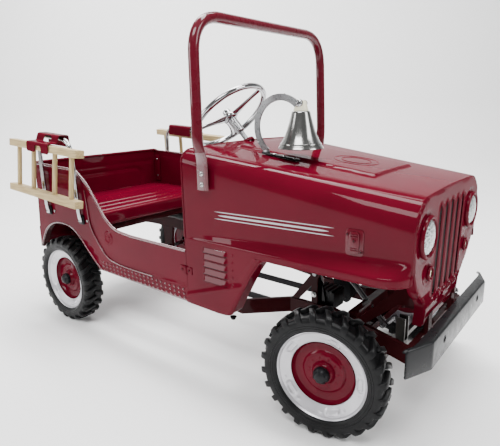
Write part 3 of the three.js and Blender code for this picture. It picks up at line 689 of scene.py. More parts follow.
def fender_half(x):
    """The outer edge of the fender in plan, round at its front corner."""
    if x <= FENDER_TURN_X:
        return BODY_HALF
    t = np.linspace(0, 1, 60)
    curve_x = FENDER_TURN_X * (1 - t) ** 2 + 2 * 788 * t * (1 - t) + 796 * t * t
    curve_y = BODY_HALF * (1 - t * t) + 157 * t * t
    return float(np.interp(x, curve_x, curve_y))


def lid_relief(x, y):
    """The raised panel along the middle of the hood."""
    edge = rounded_box_distance(np.array([[x, y]]), (569, 0), (139, 77), 9)[0]
    return LID_HEIGHT * float(step_up(np.array([-edge]), 3, 6)[0])


def hood_section(x):
    """Half of the hood's outline at x, from the middle of the top to the fender's lip."""
    w, top, edge = hood_half(x), float(hood_top(x)), fender_half(x)
    crease = 272 + 9 * (x - 400) / 395
    radius = 24 + 22 * (x - COWL_X) / (NOSE_X - COWL_X)
    line = [(y, top - CAMBER * (y / w) ** 2) for y in np.linspace(0, w - radius, LID_POINTS)]
    drop = top - CAMBER * ((w - radius) / w) ** 2
    line += arc((w - radius, drop - radius), radius, radius, math.pi / 2 - 0.06, 0.03, 12)
    line += [(w, z) for z in np.linspace(drop - radius - 2, crease + 3.5, 16)]
    line.append((w + 0.1, crease + 1.2))
    for t in np.linspace(0.06, 1, 8):
        line.append((w + max(edge - 2 - w, 0) * t, crease + (SHELF_Z + 1.2 - crease) * t))
    return [*line, (edge - 0.6, SHELF_Z), (edge, SHELF_Z - 2.2), (edge, SHELF_Z - 7), (edge, SHELF_Z - 12)]


def hood_side(s):
    """The hood on side s, a sheet through its sections, with two smaller ones that round its front edge."""
    xs = np.concatenate([np.arange(COWL_X, 700, 4.0), np.arange(700, 716, 1.5), np.arange(716, 750, 4.0),
                         np.arange(750, NOSE_X, 2.0), [NOSE_X]])
    rows = []
    for x in xs:
        section = hood_section(x)
        lid = [(y, z + lid_relief(x, y)) for y, z in section[:LID_POINTS]]
        rows.append([Vector((x, s * y, z)) for y, z in lid + section[LID_POINTS:]])
    for x, shrink in ((NOSE_X + 0.9, 0.996), (NOSE_X + 1.3, 0.985)):
        rows.append([(x, p.y * shrink, FOCUS_Z + (p.z - FOCUS_Z) * shrink) for p in rows[len(xs) - 1]])
    return grid(rows, s < 0)


def hood_shell():
    """Both sides of the hood, joined along the middle."""
    points, faces = merge(hood_side(-1), hood_side(1))
    mesh = bpy.data.meshes.new("join")
    mesh.from_pydata(points, [], faces)
    work = bmesh.new()
    work.from_mesh(mesh)
    bmesh.ops.remove_doubles(work, verts=work.verts, dist=1e-3)
    points = [v.co.copy() for v in work.verts]
    faces = [[v.index for v in f.verts] for f in work.faces]
    work.free()
    bpy.data.meshes.remove(mesh)
    piece("hood_shell", (points, faces), replaces=("cowl_hood",), sheet=SHEET, angle=50)


OPENING_EDGE = rounded([(COWL_X, 137), (480, 135), (503, 139), (511, 157), (545, 219), (568, 252),
                        (592, 251)], 12)
LOUVRE_X = (439, 498)
LOUVRE_Z = tuple(191 + 13.2 * k for k in range(5))


def skirt_relief(p):
    """Five louvres, each with a dimple in front, the flare at the foot and the rolled opening edge."""
    x, z = p[:, 0], p[:, 1]
    h = np.zeros(len(p))
    ends = step_up(x, LOUVRE_X[0] + 2.5, 6) * step_up(-x, -(LOUVRE_X[1] - 3), 7)
    for low in LOUVRE_Z:
        up = (z - low) / 9.5
        scoop = np.clip(1 - up, 0, 1) ** 1.1 * step_up(z, low - 0.4, 1.1) * (up < 1.02)
        h = h + 4.6 * scoop * ends
        h = h + ridge(np.hypot(x - 507, z - low - 4), 1.7, 1.5)
    flare = (162 + 0.35 * (x - 393) - z) / 15
    h = h + 3.4 * step_up(flare, 0.5, 1)
    fold = distance(p, OPENING_EDGE)
    h = h + ridge(np.abs(fold - 9), 2.4, 1.3) * (x > 430) * (z > 205)
    return h - 2.4 * np.clip(1 - fold / 4, 0, 1) ** 2


def cowl_skirts():
    louvres = (((434, 186), (513, 257)), 1.3)
    for side, s in SIDES:
        panel = side_panel([*OPENING_EDGE, (COWL_X, 251.4)], 4, (louvres,), skirt_relief, BODY_HALF, s)
        piece("cowl_side_" + side, panel, sheet=SHEET)
        for k, low in enumerate(LOUVRE_Z):
            # Painted shade: a near-black slit under each louvre's lip, where the shade falls.
            slit = block(LOUVRE_X[0] + 3, LOUVRE_X[1] - 4, s * (BODY_HALF + 0.2), s * (BODY_HALF + 3.4),
                         low - 0.9, low + 0.5)
            piece(f"louvre_shade_slit_{side}_{k}", slit, PAINTED_SHADE)
        fender_flange(side, s)


def fender_flange(side, s):
    """The flange turned in along the fender opening, from the cowl's foot to the grille."""
    edge = [(p.x, BODY_HALF - 1.2, p.y) for p in resampled(OPENING_EDGE, 6) if p.x > 484]
    xs = [*np.arange(598, FENDER_TURN_X, 12), *np.linspace(FENDER_TURN_X, 795, 14)]
    edge += [(x, fender_half(x) - 1.2, 251) for x in xs]
    depths = [26 if x < 585 else max(5, 26 - (x - 585) * 1.2) for x, _, _ in edge]
    rows = [[(x, s * (y - depth * share), z) for (x, y, z), depth in zip(edge, depths)]
            for share in (0, 0.5, 1)]
    piece("fender_flange_" + side, grid(rows, s > 0), sheet=SHEET)
    lip = [(x, s * (y + 0.2), z + 0.3) for x, y, z in edge]
    piece("fender_edge_" + side, tube(lip, 1.5, 10))


def dash():
    """The cowl's rear edge, turned in to a narrow dash with a grommet for the steering column."""
    outer = [(y, z) for y, z in hood_section(COWL_X) if z > 262]
    outer = [(-y, z) for y, z in reversed(outer)] + outer[1:]
    rows = []
    for inset, x in ((0.4, 1.5), (2.5, 0.2), (7, 0.6), (26, 7)):
        shrinks = [1 - inset / math.hypot(y, z - FOCUS_Z) for y, z in outer]
        rows.append([(COWL_X + x, y * k, FOCUS_Z + (z - FOCUS_Z) * k) for (y, z), k in zip(outer, shrinks)])
    piece("dash_flange", grid(rows), sheet=SHEET)
    piece("cowl_rear_roll", tube([(COWL_X + 0.6, y, z - 0.8) for y, z in outer], 1.9, 10))
    for side, s in SIDES:
        post = side_line([(COWL_X + 0.4, z) for z in (138, 200, 262)], BODY_HALF - 1, s)
        piece("cowl_rear_edge_" + side, tube(post, 1.7, 10))
    down = (COLUMN_END - COLUMN_TOP).normalized()
    ring = lathe([(8.6, -3), (13, -3), (14, 0), (13, 3), (8.6, 3), (8.6, -3)], 28,
                 toward(COLUMN_TOP + down * 69, down))
    piece("column_grommet", ring)


def stripe(s, z, wide, inset):
    """One line along the hood's side, tapered at both ends."""
    xs = np.linspace(466 + inset, 684 - inset, 28)
    rows = []
    for x in xs:
        half = wide / 2 * (min(1.0, (x - xs[0]) / 12, (xs[-1] - x) / 12) * 0.9 + 0.1)
        rows.append([(x, s * (hood_half(x) + 0.35), z + way * half) for way in (-1, 1)])
    return grid(rows, s > 0)


def hood_trim():
    """Generic silver lines where the side carries its lettering, and two plain rings on the lid."""
    for side, s in SIDES:
        lines = [stripe(s, *line) for line in ((317, 1.5, 0), (311, 3.0, 8), (305, 1.5, 0))]
        piece("side_stripes_" + side, merge(*lines), SILVER_LINE, sheet=0.3)
    for name, radius, width in (("lid_ring_outer", 37, 1.6), ("lid_ring_inner", 25, 1.0)):
        path = []
        for across, y in ellipse(radius, radius, 72):
            x = 636 + across
            path.append((x, y, hood_top(x) - CAMBER * (y / hood_half(x)) ** 2 + LID_HEIGHT + 0.05))
        section = ellipse(0.7 * width / 0.8, 0.7, 8)
        piece(name, sweep(path, lambda i: section, closed=True))


# ------------------------------------------------------------------ grille and lights
GRILLE_FOOT = smooth_line([(86, 163), (87, 190), (97, 206), (122, 226), (141, 251), (152, 274)], 4)
SLOTS_Y = tuple(28 * k for k in range(-2, 3))
HEADLIGHT = (108.7, 309, 26)  # y, z and radius
MARKER = (90, 251, 8)
FORWARD = Vector((1, 0, 0))


def slot_outline(centre, top, bottom, r):
    return [*arc((centre, top), r, r, 0, math.pi, 9), *arc((centre, bottom), r, r, math.pi, 2 * math.pi, 9)]


def grille_face_x(z):
    return NOSE_X + 2.9 - 3.2 * clamp((338 - z) / 141) - 3 * clamp((205 - z) / 42) ** 1.3


def grille():
    top = [(0.985 * y, FOCUS_Z + (z - FOCUS_Z) * 0.985) for y, z in reversed(hood_section(NOSE_X))
           if z > 288 and y > 1]
    half = [*GRILLE_FOOT, *top]
    outline = half + [(-y, z) for y, z in reversed(half)]
    slots = [slot_outline(y, 337.5, 212.5, 7.3) for y in SLOTS_Y]
    lamp_spots = [(s * y, z, r) for y, z, r in (HEADLIGHT, MARKER) for _, s in SIDES]
    lamp_holes = [[(y + a, z + b) for a, b in ellipse(r - 0.5, r - 0.5, 36)] for y, z, r in lamp_spots]
    flat, tris = flat_mesh(outline, 3.0, (*slots, *lamp_holes))
    rim = distance(flat, outline, True)
    h = np.sqrt(np.clip(5.76 - np.clip(2.4 - rim, 0, 2.4) ** 2, 0, 5.76)) - 2.4
    for loop in slots:
        gap = distance(flat, loop, True)
        h += 1.4 * np.exp(-((gap - 2.6) / 1.8) ** 2) - np.clip(1 - gap / 2.0, 0, 1) ** 1.5
    for y, z, r in lamp_spots:
        reach = np.hypot(flat[:, 0] - y, flat[:, 1] - z)
        h += ridge(reach - r - 8, 4, -1.2) + 3.0 * np.clip(1 - (reach - r) / 6, 0, 1) ** 1.2
    for y in SLOTS_Y:
        h += ridge(distance(flat, [(y - 7, 194), (y + 7, 194)]), 1.8, 1.5)
    h += ridge(distance(flat, [(-74, 176), (74, 176)]), 2.6, 1.6)
    points = [(grille_face_x(z) + out, y, z) for (y, z), out in zip(flat, h)]
    piece("grille_face", (points, tris), replaces=("grille_panel",), sheet=SHEET)
    for side, s in SIDES:
        grille_flange(side, s)
    # Painted shade: a near-black sheet behind the slots and lamp holes that stands for the shade inside the
    # nose.
    shade_sheet = block(NOSE_X - 9, NOSE_X - 7, -78, 116, 200, 350)
    piece("grille_slot_shade", shade_sheet, PAINTED_SHADE, bevel=0.4)


def grille_flange(side, s):
    """The grille's lower side edges, turned back toward the frame."""
    rows = [[(grille_face_x(z) - back, s * (y + out), z) for y, z in GRILLE_FOOT]
            for back, out in ((1.6, 0), (8.6, 0.5), (15.6, 0))]
    piece("grille_flange_" + side, grid(rows, s < 0), sheet=SHEET)


def lamps():
    for side, s in SIDES:
        for name, (y, z, r), slot, glass in (("headlight", HEADLIGHT, "lens", LENS),
                                             ("marker", MARKER, "amber_lens", AMBER)):
            lip = 3.2 if name == "headlight" else 2.0
            bezel = lathe(arc((r + lip * 0.8, 0), lip, lip * 1.2, 0, 2 * math.pi, 17), 48,
                          toward((NOSE_X + 4.2, s * y, z), FORWARD))
            piece(f"{name}_bezel_{side}", bezel)
            dome = [(0, 0), (r, 0), (r, 1), *arc((0, 1), r, r * 0.22, 0.15, 1.45, 12), (0, 1 + r * 0.22)]
            lens = lathe(dome, 48, toward((NOSE_X + 2.0, s * y, z), FORWARD))
            if name == "headlight":
                for p in lens[0]:
                    if p.x > NOSE_X + 3.2:
                        p.x += 0.45 * abs(math.sin((p.y - s * y) * 0.55))
            piece(f"{name}_glass_{side}", lens, glass, "car", (f"{name}_lens_{side}",), angle=60)


def latches():
    """The hood's side latch: a plate with a ribbed lever and three screws."""
    x, z = 716, 300
    taper = math.atan2(BODY_HALF - NOSE_HALF, NOSE_X - TAPER_X)
    plate, lever = rounded_plate(27, 40, 6, 1.4), rounded_plate(15, 33, 5, 3.6)
    ribs = [block(-6, 6, y - 0.8, y + 0.8, 3.2, 4.8) for y in (9, 12, -8, -11)]
    for side, s in SIDES:
        face = on_side(s, x, s * (hood_half(x) - 0.1), z) @ Matrix.Rotation(taper, 4, "Y")
        body = moved(merge(plate, lever, *ribs), face)
        piece("latch_" + side, body, HOOP_RED, replaces=(f"hood_latch_{side}",), bevel=0.7)
        for k, at in enumerate(((0, 3.5, 3.7), (10.5, -12, 1.4), (-10.5, 12, 1.4))):
            fasten(f"latch_screw_{side}_{k}", face @ Vector(at), (0.07, s, 0), 2.4, RED)


# ------------------------------------------------------------------ windshield hoop and bumpers
def hoop():
    """A tube over the cowl, pressed flat at its feet, where it is screwed to the cowl's sides."""
    flat_from, flat_run = 434, 26
    bow = rounded([(450, -196.5, 436), (446, -192, 629.6), (446, 192, 629.6), (450, 196.5, 436)], 62, 14)
    foot = [(450, 195.5, 428), (450, 192.5, 417), (450, 189.6, 407), (450, 188.8, 396), (450, 188.8, 353)]
    path = [Vector((x, -y, z)) for x, y, z in reversed(foot)] + resampled(bow, 14)
    path += [Vector(p) for p in foot]

    def stretch(points):
        def section(i):
            flat = clamp((flat_from - points[i].z) / flat_run)
            return ellipse(9.2 - 6.6 * flat, 9.2 + 3.6 * flat, 20)

        return sweep(points, section, up=FORWARD)

    ends = len(foot)
    piece("windshield_tube", stretch(path[ends - 2:2 - ends]), HOOP_RED, replaces=("windshield_hoop",))
    piece("hoop_foot_right", stretch(path[:ends - 1]), EDGE_RED)
    piece("hoop_foot_left", stretch(path[1 - ends:]), EDGE_RED)
    for side, s in SIDES:
        for z in (381, 363):
            fasten(f"hoop_screw_{side}_{z}", (450, s * 191, z), (0, s, 0), 4.4)


def bumper():
    """A pressed bar, swept back at both ends, with its top edge turned in."""
    outer = (0, 60, 91, 120, 139, 142, 145, 155, 170, 183, 186, 188, 189)
    rows = []
    for y in [*(-y for y in reversed(outer[1:])), *outer]:
        x = 829 - 20 * max(0.0, (abs(y) - 142) / 47)
        end = max(0.0, (abs(y) - 183) / 6)
        drop = 4 * (1 - math.sqrt(max(0.0, 1 - end ** 2)))
        low, high = 131 + drop * 0.6, 174 - drop
        rows.append([(x - 1.6, y, low), (x, y, low + 2.2), (x, y, high - 3), (x - 0.9, y, high - 0.9),
                     (x - 3, y, high), (min(x - 6, 812), y, high)])
    piece("bumper_bar", grid(rows), BUMPER_PAINT, replaces=("front_bumper",), sheet=2.6,
          angle=50)
    points, faces = merge(*[bolt((828.6, s * 91, 157), FORWARD, 9, 0.4) for _, s in SIDES])
    heads = [(min(p.x, 829.4), p.y, p.z) for p in points]
    piece("bumper_bolts", (heads, faces), BLACK, bevel=0.15)


def bumperettes():
    for side, s in SIDES:
        y = s * 165
        x0 = (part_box("rear_bumperette_" + side)[0].x - REAR_AXLE_X) / MM
        face = Matrix(((0, 0, -1, x0 + 4.2), (1, 0, 0, y), (0, 1, 0, 177.5), (0, 0, 0, 1)))
        spacer = block(x0 + 4, x0 + 12, y - 7, y + 7, 160, 195)
        piece("bumperette_" + side, merge(moved(rounded_plate(26, 55, 5, 4), face), spacer), BLACK,
              replaces=("rear_bumperette_" + side,), bevel=1.0)


# ------------------------------------------------------------------ wheels
LUGS = 48
TREAD_BASE = 93.0
SIDEWALL = [(70.6, -18.5), (72.5, -19.5), (74, -21), (78, -22.3), (84, -22.8), (88, -22.2), (91, -20.4),
            (92.6, -17), (TREAD_BASE, -10)]
DIMPLES = 5
DIMPLE_R = 38
STUDS_R = 22.5
REAR_BODIES = {"right": "rear_axle", "left": "rear_wheel_left"}


def tyre():
    """A bar-tread tyre about the local Z axis: one lug from each shoulder in turn, over a smooth carcass."""
    profile = SIDEWALL + [(TREAD_BASE + 0.3, 0)] + [(r, -h) for r, h in reversed(SIDEWALL)]
    profile = smooth_line(profile, 3)
    carcass = lathe([*profile, (70.4, 0), profile[0]], 96)
    beads = [tube([(x, y, s * z) for x, y in ellipse(r, r, 72)], 0.7, 6, closed=True)
             for s in (-1, 1) for r, z in ((77, 22.0), (80.5, 22.6))]
    lugs = [one_lug(2 * math.pi * k / LUGS, 1 if k % 2 else -1) for k in range(LUGS)]
    return carcass, merge(*lugs), merge(*beads)


def one_lug(turn, s):
    """A lug from the shoulder on side s to just past the tread's middle, through its cross sections."""
    stations = [(22.9, 82.5, 84, -0.4), (23.2, 89, 91.5, -0.2), (20.5, 90, 97.2, 0.0), (16, 90, 99.4, 0.3),
                (5, 90, WHEEL_R, 1.5), (-2.5, 90, WHEEL_R, 2.3)]
    points, faces = [], []
    for z, base, top, lean in stations:
        half = math.radians(3.0 if z > 10 else 2.7)
        for radius, share in ((base, 1.15), (top, 0.86)):
            r = radius / math.cos(half * share) if radius < WHEEL_R else radius
            for sign in (-1, 1):
                a = turn + math.radians(lean * 2.6) + sign * half * share
                points.append((r * math.cos(a), r * math.sin(a), s * z))
    end = 4 * (len(stations) - 1)
    for a in range(0, end, 4):
        faces += [[a + 2, a + 3, a + 7, a + 6], [a, a + 4, a + 5, a + 1], [a, a + 2, a + 6, a + 4],
                  [a + 1, a + 5, a + 7, a + 3]]
    faces += [[0, 1, 3, 2], [end, end + 2, end + 3, end + 1]]
    return points, faced(faces, s > 0)


def from_nearest(turn, r):
    """How far along a circle of radius r a turn lies from the nearest dimple, for turns in dimples."""
    return (turn - round(turn)) / DIMPLES * 2 * math.pi * r


def rim_ring():
    """The pale ring: a rolled bead, a slope with embossed slots and a return into the dish. Z is outward."""
    slope_start = 53
    profile = [(50.2, 2), (50.2, 6), (51.2, 8.6), (slope_start, 9.4), (66.8, 15.2), (68.2, 18.0),
               (69.6, 19.2), (70.9, 18.2), (70.9, 12), (70.3, -12), (70.9, -17.6), (69.2, -18.4),
               (67.4, -17.6), (66.8, 12), (64, 12.4), (54, 10.2), (52.4, 9), (52.2, 2), (50.2, 2)]
    fine = []
    for (r0, z0), (r1, z1) in zip(profile, profile[1:]):
        count = 16 if r0 == slope_start else 1
        fine += [(r0 + (r1 - r0) * k / count, z0 + (z1 - z0) * k / count) for k in range(count)]
    points, faces = lathe([*fine, profile[-1]], 240)
    for p in points:
        r = math.hypot(p.x, p.y)
        if 53.5 < r < 66.5 and p.z > 9.4:
            turn = math.atan2(p.y, p.x) / (2 * math.pi) * DIMPLES
            along = from_nearest(turn, r)
            edge = float(rounded_box_distance(np.array([[along, r]]), (0, 60), (10, 3.9), 3.8)[0])
            p.z += 1.7 * math.exp(-(edge / 1.5) ** 2)
            pip = from_nearest(turn * 2 + 0.5, r) / 2
            p.z += 1.0 * math.exp(-((pip / 1.7) ** 2) - (((r - 61) / 1.7) ** 2))
    return points, faces


def rim_centre():
    """The red dish inside the ring: a raised hub, a bead, five dimples and ten studs, and a sleeve."""
    profile = [(50.1, 9.6), (50.1, 8.2), (48.8, 4.4), (46.5, 1.4), (43, 0.4), (38, 0.4), (34.5, 0.8),
               (32.8, 2.4), (30.8, 3.4), (28.6, 2.8), (26.5, 2.2), (24.2, 2.2), (22.5, 2.2), (20.8, 2.2),
               (18.6, 3.0), (16.6, 7.6), (14.6, 9.6), (6, 10.2), (6, 7), (13, 6), (16, -1.2), (44, -1.8),
               (48, -0.4), (50.1, 4), (50.1, 9.6)]
    points, faces = lathe(profile, 120)
    for p in points:
        r = math.hypot(p.x, p.y)
        if 19 < r < 47 and p.z > 0:
            turn = math.atan2(p.y, p.x) / (2 * math.pi) * DIMPLES + 0.5
            along = from_nearest(turn, DIMPLE_R)
            p.z += 1.8 * math.exp(-((along / 4) ** 2) - (((r - DIMPLE_R) / 4) ** 2))
            stud = from_nearest(turn * 2, STUDS_R) / 2
            p.z += 1.5 * math.exp(-((stud / 1.8) ** 2) - (((r - STUDS_R) / 1.9) ** 2))
    return merge((points, faces), lathe([(6, 1), (11, 1), (11, -16), (6, -16), (6, 1)], 32))


def wheel_cap():
    """A black push-on cap with a domed centre and grip notches."""
    profile = [(0, 10.4), (12.6, 10.4), (13, 11.2), (13, 15), (12, 17.6), (9.4, 19.2), (8.2, 21.6),
               (5, 23.2), (0, 23.8)]
    points, faces = lathe(profile, 48)
    for p in points:
        if math.hypot(p.x, p.y) > 11.5 and p.z > 11:
            notch = 1 - 0.07 * (math.cos(8 * math.atan2(p.y, p.x)) > 0.2)
            p.x *= notch
            p.y *= notch
    return points, faces


def wheels():
    carcass, lugs, beads = tyre()
    parts = (("tyre_carcass_", merge(carcass, beads), TYRE, "tyre", "tyre_", 0, 36),
             ("tyre_lugs_", lugs, TYRE, "tyre", None, 1.3, 32),
             ("rim_ring_", rim_ring(), RIM_PAINT, "rim_paint", "wheel_disc_", 0, 36),
             ("rim_dish_", rim_centre(), RED, "red_paint", None, 0, 36),
             ("hub_cap_cover_", wheel_cap(), DARK_PLASTIC, "black_paint", "hub_cap_", 0, 36))
    for side, s in SIDES:
        swing = Matrix.Translation((KINGPIN_X, s * KINGPIN_Y, WHEEL_R)) @ Matrix.Rotation(REST_STEER, 4, "Z")
        hubs = {"rear_" + side: (on_side(s, 0, s * WHEEL_Y, WHEEL_R), REAR_BODIES[side]),
                "front_" + side: (swing @ on_side(s, 0, s * STUB_REACH), "front_wheel_" + side)}
        for wheel, (matrix, body) in hubs.items():
            for prefix, part, material, slot, node, bevel, angle in parts:
                stands_for = (node + wheel,) if node else ()
                piece(prefix + wheel, moved(part, matrix), material, body, stands_for, bevel=bevel,
                      angle=angle)


# ------------------------------------------------------------------ steering
def column_matrix():
    """Local Z up the column, local X to the car's left."""
    back = (COLUMN_TOP - COLUMN_END).normalized()
    across = Vector((0, 1, 0))
    return Matrix.Translation(COLUMN_TOP) @ Matrix((across, back.cross(across), back)).transposed().to_4x4()


def steering():
    def add(name, part, material=CHROME, replaces=(), angle=38):
        piece(name, moved(part, column_matrix()), material, "steering", replaces, angle=angle)

    spokes = []
    stations = ((10, -2, 12, 4.2), (22, -1.5, 10, 3.8), (40, -0.5, 6.2, 3.4), (60, 0, 4.8, 3.2),
                (72, 0, 5.2, 3.2), (83, 0, 7.5, 3.2))  # radius, height, half width and half thickness
    for turn in np.radians((-66, 45, 155)):
        path = [(r * math.cos(turn), r * math.sin(turn), z) for r, z, _, _ in stations]
        spokes.append(sweep(path, lambda i: ellipse(*stations[i][2:])))
    hub = lathe([(0, -8), (13, -8), (15.5, -6), (16, -2), (14.5, 2), (12, 3.6), (9.6, 4.2), (8.8, 6),
                 (8.8, 12), (8.0, 14.6), (5.5, 15.8), (0, 16)], 48)
    rim = tube([(x, y, 0) for x, y in ellipse(84, 84, 96)], 5.9, 18, closed=True)
    add("steering_rim", rim, replaces=("steering_wheel",))
    add("steering_spokes", merge(*spokes))
    add("steering_hub", hub, angle=50)
    bolts = [bolt((12 * math.cos(a), 12 * math.sin(a), 2.6), (0, 0, 1), 4.4, 2.4)
             for a in np.radians((0, 100, 220))]
    add("steering_hub_bolts", merge(*bolts), ZINC)
    flutes = [(r, z + up) for z in np.arange(-42, -9, 3.3)
              for r, up in ((8.2, 0), (9.2, 0.9), (9.2, 2.4), (8.2, 3.3))]
    add("column_collar", lathe([(5.2, -42.5), *flutes, (5.2, -8.2), (5.2, -42.5)], 40), angle=60)


# ------------------------------------------------------------------ bell
BELL_X, BELL_Y, BELL_Z = 573.5, -80, 491.5  # the screw it swings on
HOOK_CENTRE = Vector((536.6, 453.5))
SPACER_FLAT = 4.4


def bell():
    outer = smooth_line([(37.9, 419.7), (36.9, 421.8), (33.2, 427.6), (28.0, 437), (24.0, 447), (20.9, 456.5),
                         (17.8, 467.5), (15.9, 475), (14.9, 478.2), (12.6, 479.6), (0, 479.8)], 3)
    inner = [(max(r - 1.9, 0), min(z, 478.2)) for r, z in reversed(outer)]
    shift = Matrix.Translation((BELL_X, BELL_Y, 0))
    shell = lathe([*outer, *inner, (36.9, 419.2), outer[0]], 72, shift)
    piece("bell_shell", shell, NICKEL, "bell", ("bell",), angle=60)
    band = lathe([(34.2, 426.2), (34.9, 426.6), (34.6, 427.6), (33.6, 427.8), (34.2, 426.2)], 72, shift)
    piece("bell_band", band, NICKEL, "bell")
    cone = lathe([(0, 479.4), (12, 479.4), (12.4, 480.2), (12.2, 481.2), (7.9, 495), (6.9, 496.4),
                  (0, 496.6)], 48, shift)
    for p in cone[0]:
        if p.z > 481.3:
            p.y = max(p.y, BELL_Y - SPACER_FLAT + 0.2)
    piece("bell_spacer", cone, CREAM, "bell", angle=50)
    rod = tube([(BELL_X, BELL_Y, z) for z in (474, 452, 432)], 1.5, 12)
    ball = lathe(arc((0, 428), 6, 6, -math.pi / 2, math.pi / 2, 14), 24, shift)
    piece("bell_striker", merge(rod, ball), ZINC, "clapper", ("bell_clapper",))


def hook_outline():
    """The strap seen from the side: a hook from its foot on the hood over to the bell's screw."""
    def bend(centre, radius, start, end, count):
        return [(centre[0] + radius * math.cos(a), centre[1] + radius * math.sin(a))
                for a in np.radians(np.linspace(start, end, count))]

    return [*bend(HOOK_CENTRE, 54.5, 237, 54, 44), *bend((BELL_X, BELL_Z), 7, 69, -109, 14),
            *bend(HOOK_CENTRE, 43.6, 49, 237, 40)]


def bell_strap():
    flat, tris = flat_mesh(hook_outline(), 4)
    hook = [(x, BELL_Y - 7.5, z) for x, z in flat]
    piece("bell_strap", (hook, tris), STEEL, replaces=("bell_bracket",), sheet=3, bevel=0.7)
    rear_z, front_z, length = 408.3, 398.5, 74  # the hood under the foot's two ends
    tilt = (Matrix.Translation((538, BELL_Y - 8, (rear_z + front_z) / 2 + 0.4))
            @ Matrix.Rotation(math.atan2(rear_z - front_z, length), 4, "Y"))
    piece("bell_foot", moved(rounded_plate(76, 12.6, 5, 2.8), tilt), BLACK, bevel=0.7)
    gusset = block(502, 514, BELL_Y - 9, BELL_Y - 4.4, 408, 414)
    piece("bell_strap_root", gusset, STEEL, bevel=1.2)
    normal = tilt.to_3x3() @ Vector((0, 0, 1))
    for k, along in enumerate((-12, 9, 30)):
        fasten(f"bell_foot_screw_{k}", tilt @ Vector((along, -1, 2.6)), normal, 3.4)
    head, recess = screw((BELL_X, BELL_Y - 7.3, BELL_Z), (0, -1, 0), 6.5)
    pin = tube([(BELL_X, y, BELL_Z) for y in (BELL_Y - 6, BELL_Y + 12)], 2.5, 16)
    nut = bolt((BELL_X, BELL_Y + 10.9, BELL_Z), (0, 1, 0), 8, 3.4)
    piece("bell_screw", merge(head, pin, nut), CHROME)
    # Painted shade in the bell screw's cross recess.
    piece("bell_screw_recess", recess, PAINTED_SHADE)


# ------------------------------------------------------------------ ladders
LADDER_PITCH = math.radians(3.5)
LADDER_LEAN = math.radians(5.5)
LADDER_AT = (8, 220, 408.5)
LADDER_DROP = 103
RUNGS_X = (-107, -43.5, 43.5, 107)
RAIL_HALF = 7.9


def ladder_matrix(s, lean):
    x, y, z = LADDER_AT
    return (Matrix.Translation((x, s * y, z)) @ Matrix.Rotation(LADDER_PITCH, 4, "Y")
            @ Matrix.Rotation(s * lean, 4, "X"))


def ladders():
    for side, s in SIDES:
        body = "ladder_" + side
        matrix = ladder_matrix(s, LADDER_LEAN)
        for name, z, node in (("top", 0, (body,)), ("bottom", -LADDER_DROP, ())):
            rail = block(-136, 136, -9.9, 9.9, z - RAIL_HALF, z + RAIL_HALF)
            piece(f"ladder_rail_{name}_{side}", moved(rail, matrix), WOOD, body, node, bevel=1.3)
        rungs = [tube([(x, 0, z) for z in np.linspace(-LADDER_DROP, 0, 5)], 5, 24) for x in RUNGS_X]
        piece("ladder_rungs_" + side, moved(merge(*rungs), matrix), WOOD_UPRIGHT, body)
        nails = [lathe([(0, 0), (2.2, 0), (2.0, 0.5), (0, 0.6)], 16, toward((x, 0, z), (0, 0, up)))
                 for x in RUNGS_X for z, up in ((RAIL_HALF, 1), (-LADDER_DROP - RAIL_HALF, -1))]
        piece("ladder_nails_" + side, moved(merge(*nails), matrix), ZINC, body)


def ladder_saddles():
    """A sheet bent over the rack tube and the ladder's top rail, with a window in its slope."""
    bend = rounded([(37.4, 1), (37.4, 27), (15, 27), (9.6, 10.8), (-12.4, 10.8), (-12.4, -10)], 4, 6)
    lengths = [0.0]
    for a, b in zip(bend, bend[1:]):
        lengths.append(lengths[-1] + (b - a).length)
    total = lengths[-1]
    outline = [(-48, 2), (-46, 0), (34, 0), (36, 2), (37, total - 24), (38, total - 3), (35, total),
               (13, total), (10, total - 3), (9, total - 12), (6, total - 15), (-12, total - 15),
               (-15, total - 12), (-16, total - 3), (-19, total), (-47, total), (-50, total - 3),
               (-49, total - 24)]
    window = [(-18, 51), (-15, 48), (9, 48), (12, 51), (12, 60), (9, 63), (-15, 63), (-18, 60)]
    flat, tris = flat_mesh(outline, 2.6, (window,))
    ys = np.interp(flat[:, 1], lengths, [p.x for p in bend])
    zs = np.interp(flat[:, 1], lengths, [p.y for p in bend])
    for side, s in SIDES:
        body = "ladder_" + side
        matrix = ladder_matrix(s, 0)
        points = [matrix @ Vector((x, -s * y, z)) for x, y, z in zip(flat[:, 0], ys, zs)]
        piece("saddle_" + side, (points, faced(tris, s > 0)), RED, body, replaces=("ladder_saddle_" + side,),
              sheet=SHEET, angle=50)
        fasten("saddle_screw_" + side, matrix @ Vector((-5, -s * 26, 26.8)), (0, 0, 1), 3.4, RED, body)


def ladder_racks():
    """A tube on each side, flattened at its ends, where dark tabs screw it to the tub."""
    line = ((-64, 190.6, 250), (-64, 191.2, 268), (-62, 195, 433), (70, 195, 425), (69, 191.2, 262),
            (69, 190.6, 246))
    for side, s in SIDES:
        path = resampled(rounded([(x, s * y, z) for x, y, z in line], 36, 12), 9)

        def section(i):
            end = min((path[i] - path[0]).length, (path[i] - path[-1]).length)
            flat = 1 - min(1.0, end / 22)
            return ellipse(4.7 - 2.6 * flat, 4.7 + 1.8 * flat, 16)

        piece("rack_tube_" + side, sweep(path, section, up=FORWARD), CHROME,
              replaces=("ladder_rack_" + side,))
        for k, (x, z) in enumerate(((-64, 256), (69, 250))):
            tab = moved(rounded_plate(19, 21, 4, 3), on_side(s, x, s * (BODY_HALF + 0.2), z))
            piece(f"rack_tab_{side}_{k}", tab, DARK_PLASTIC, bevel=0.6)
            for m, (dx, out) in enumerate(((0, 8), (19, 0.4))):
                fasten(f"rack_screw_{side}_{k}_{m}", (x + dx, s * (BODY_HALF + out), z - 1), (0, s, 0), 2.9)


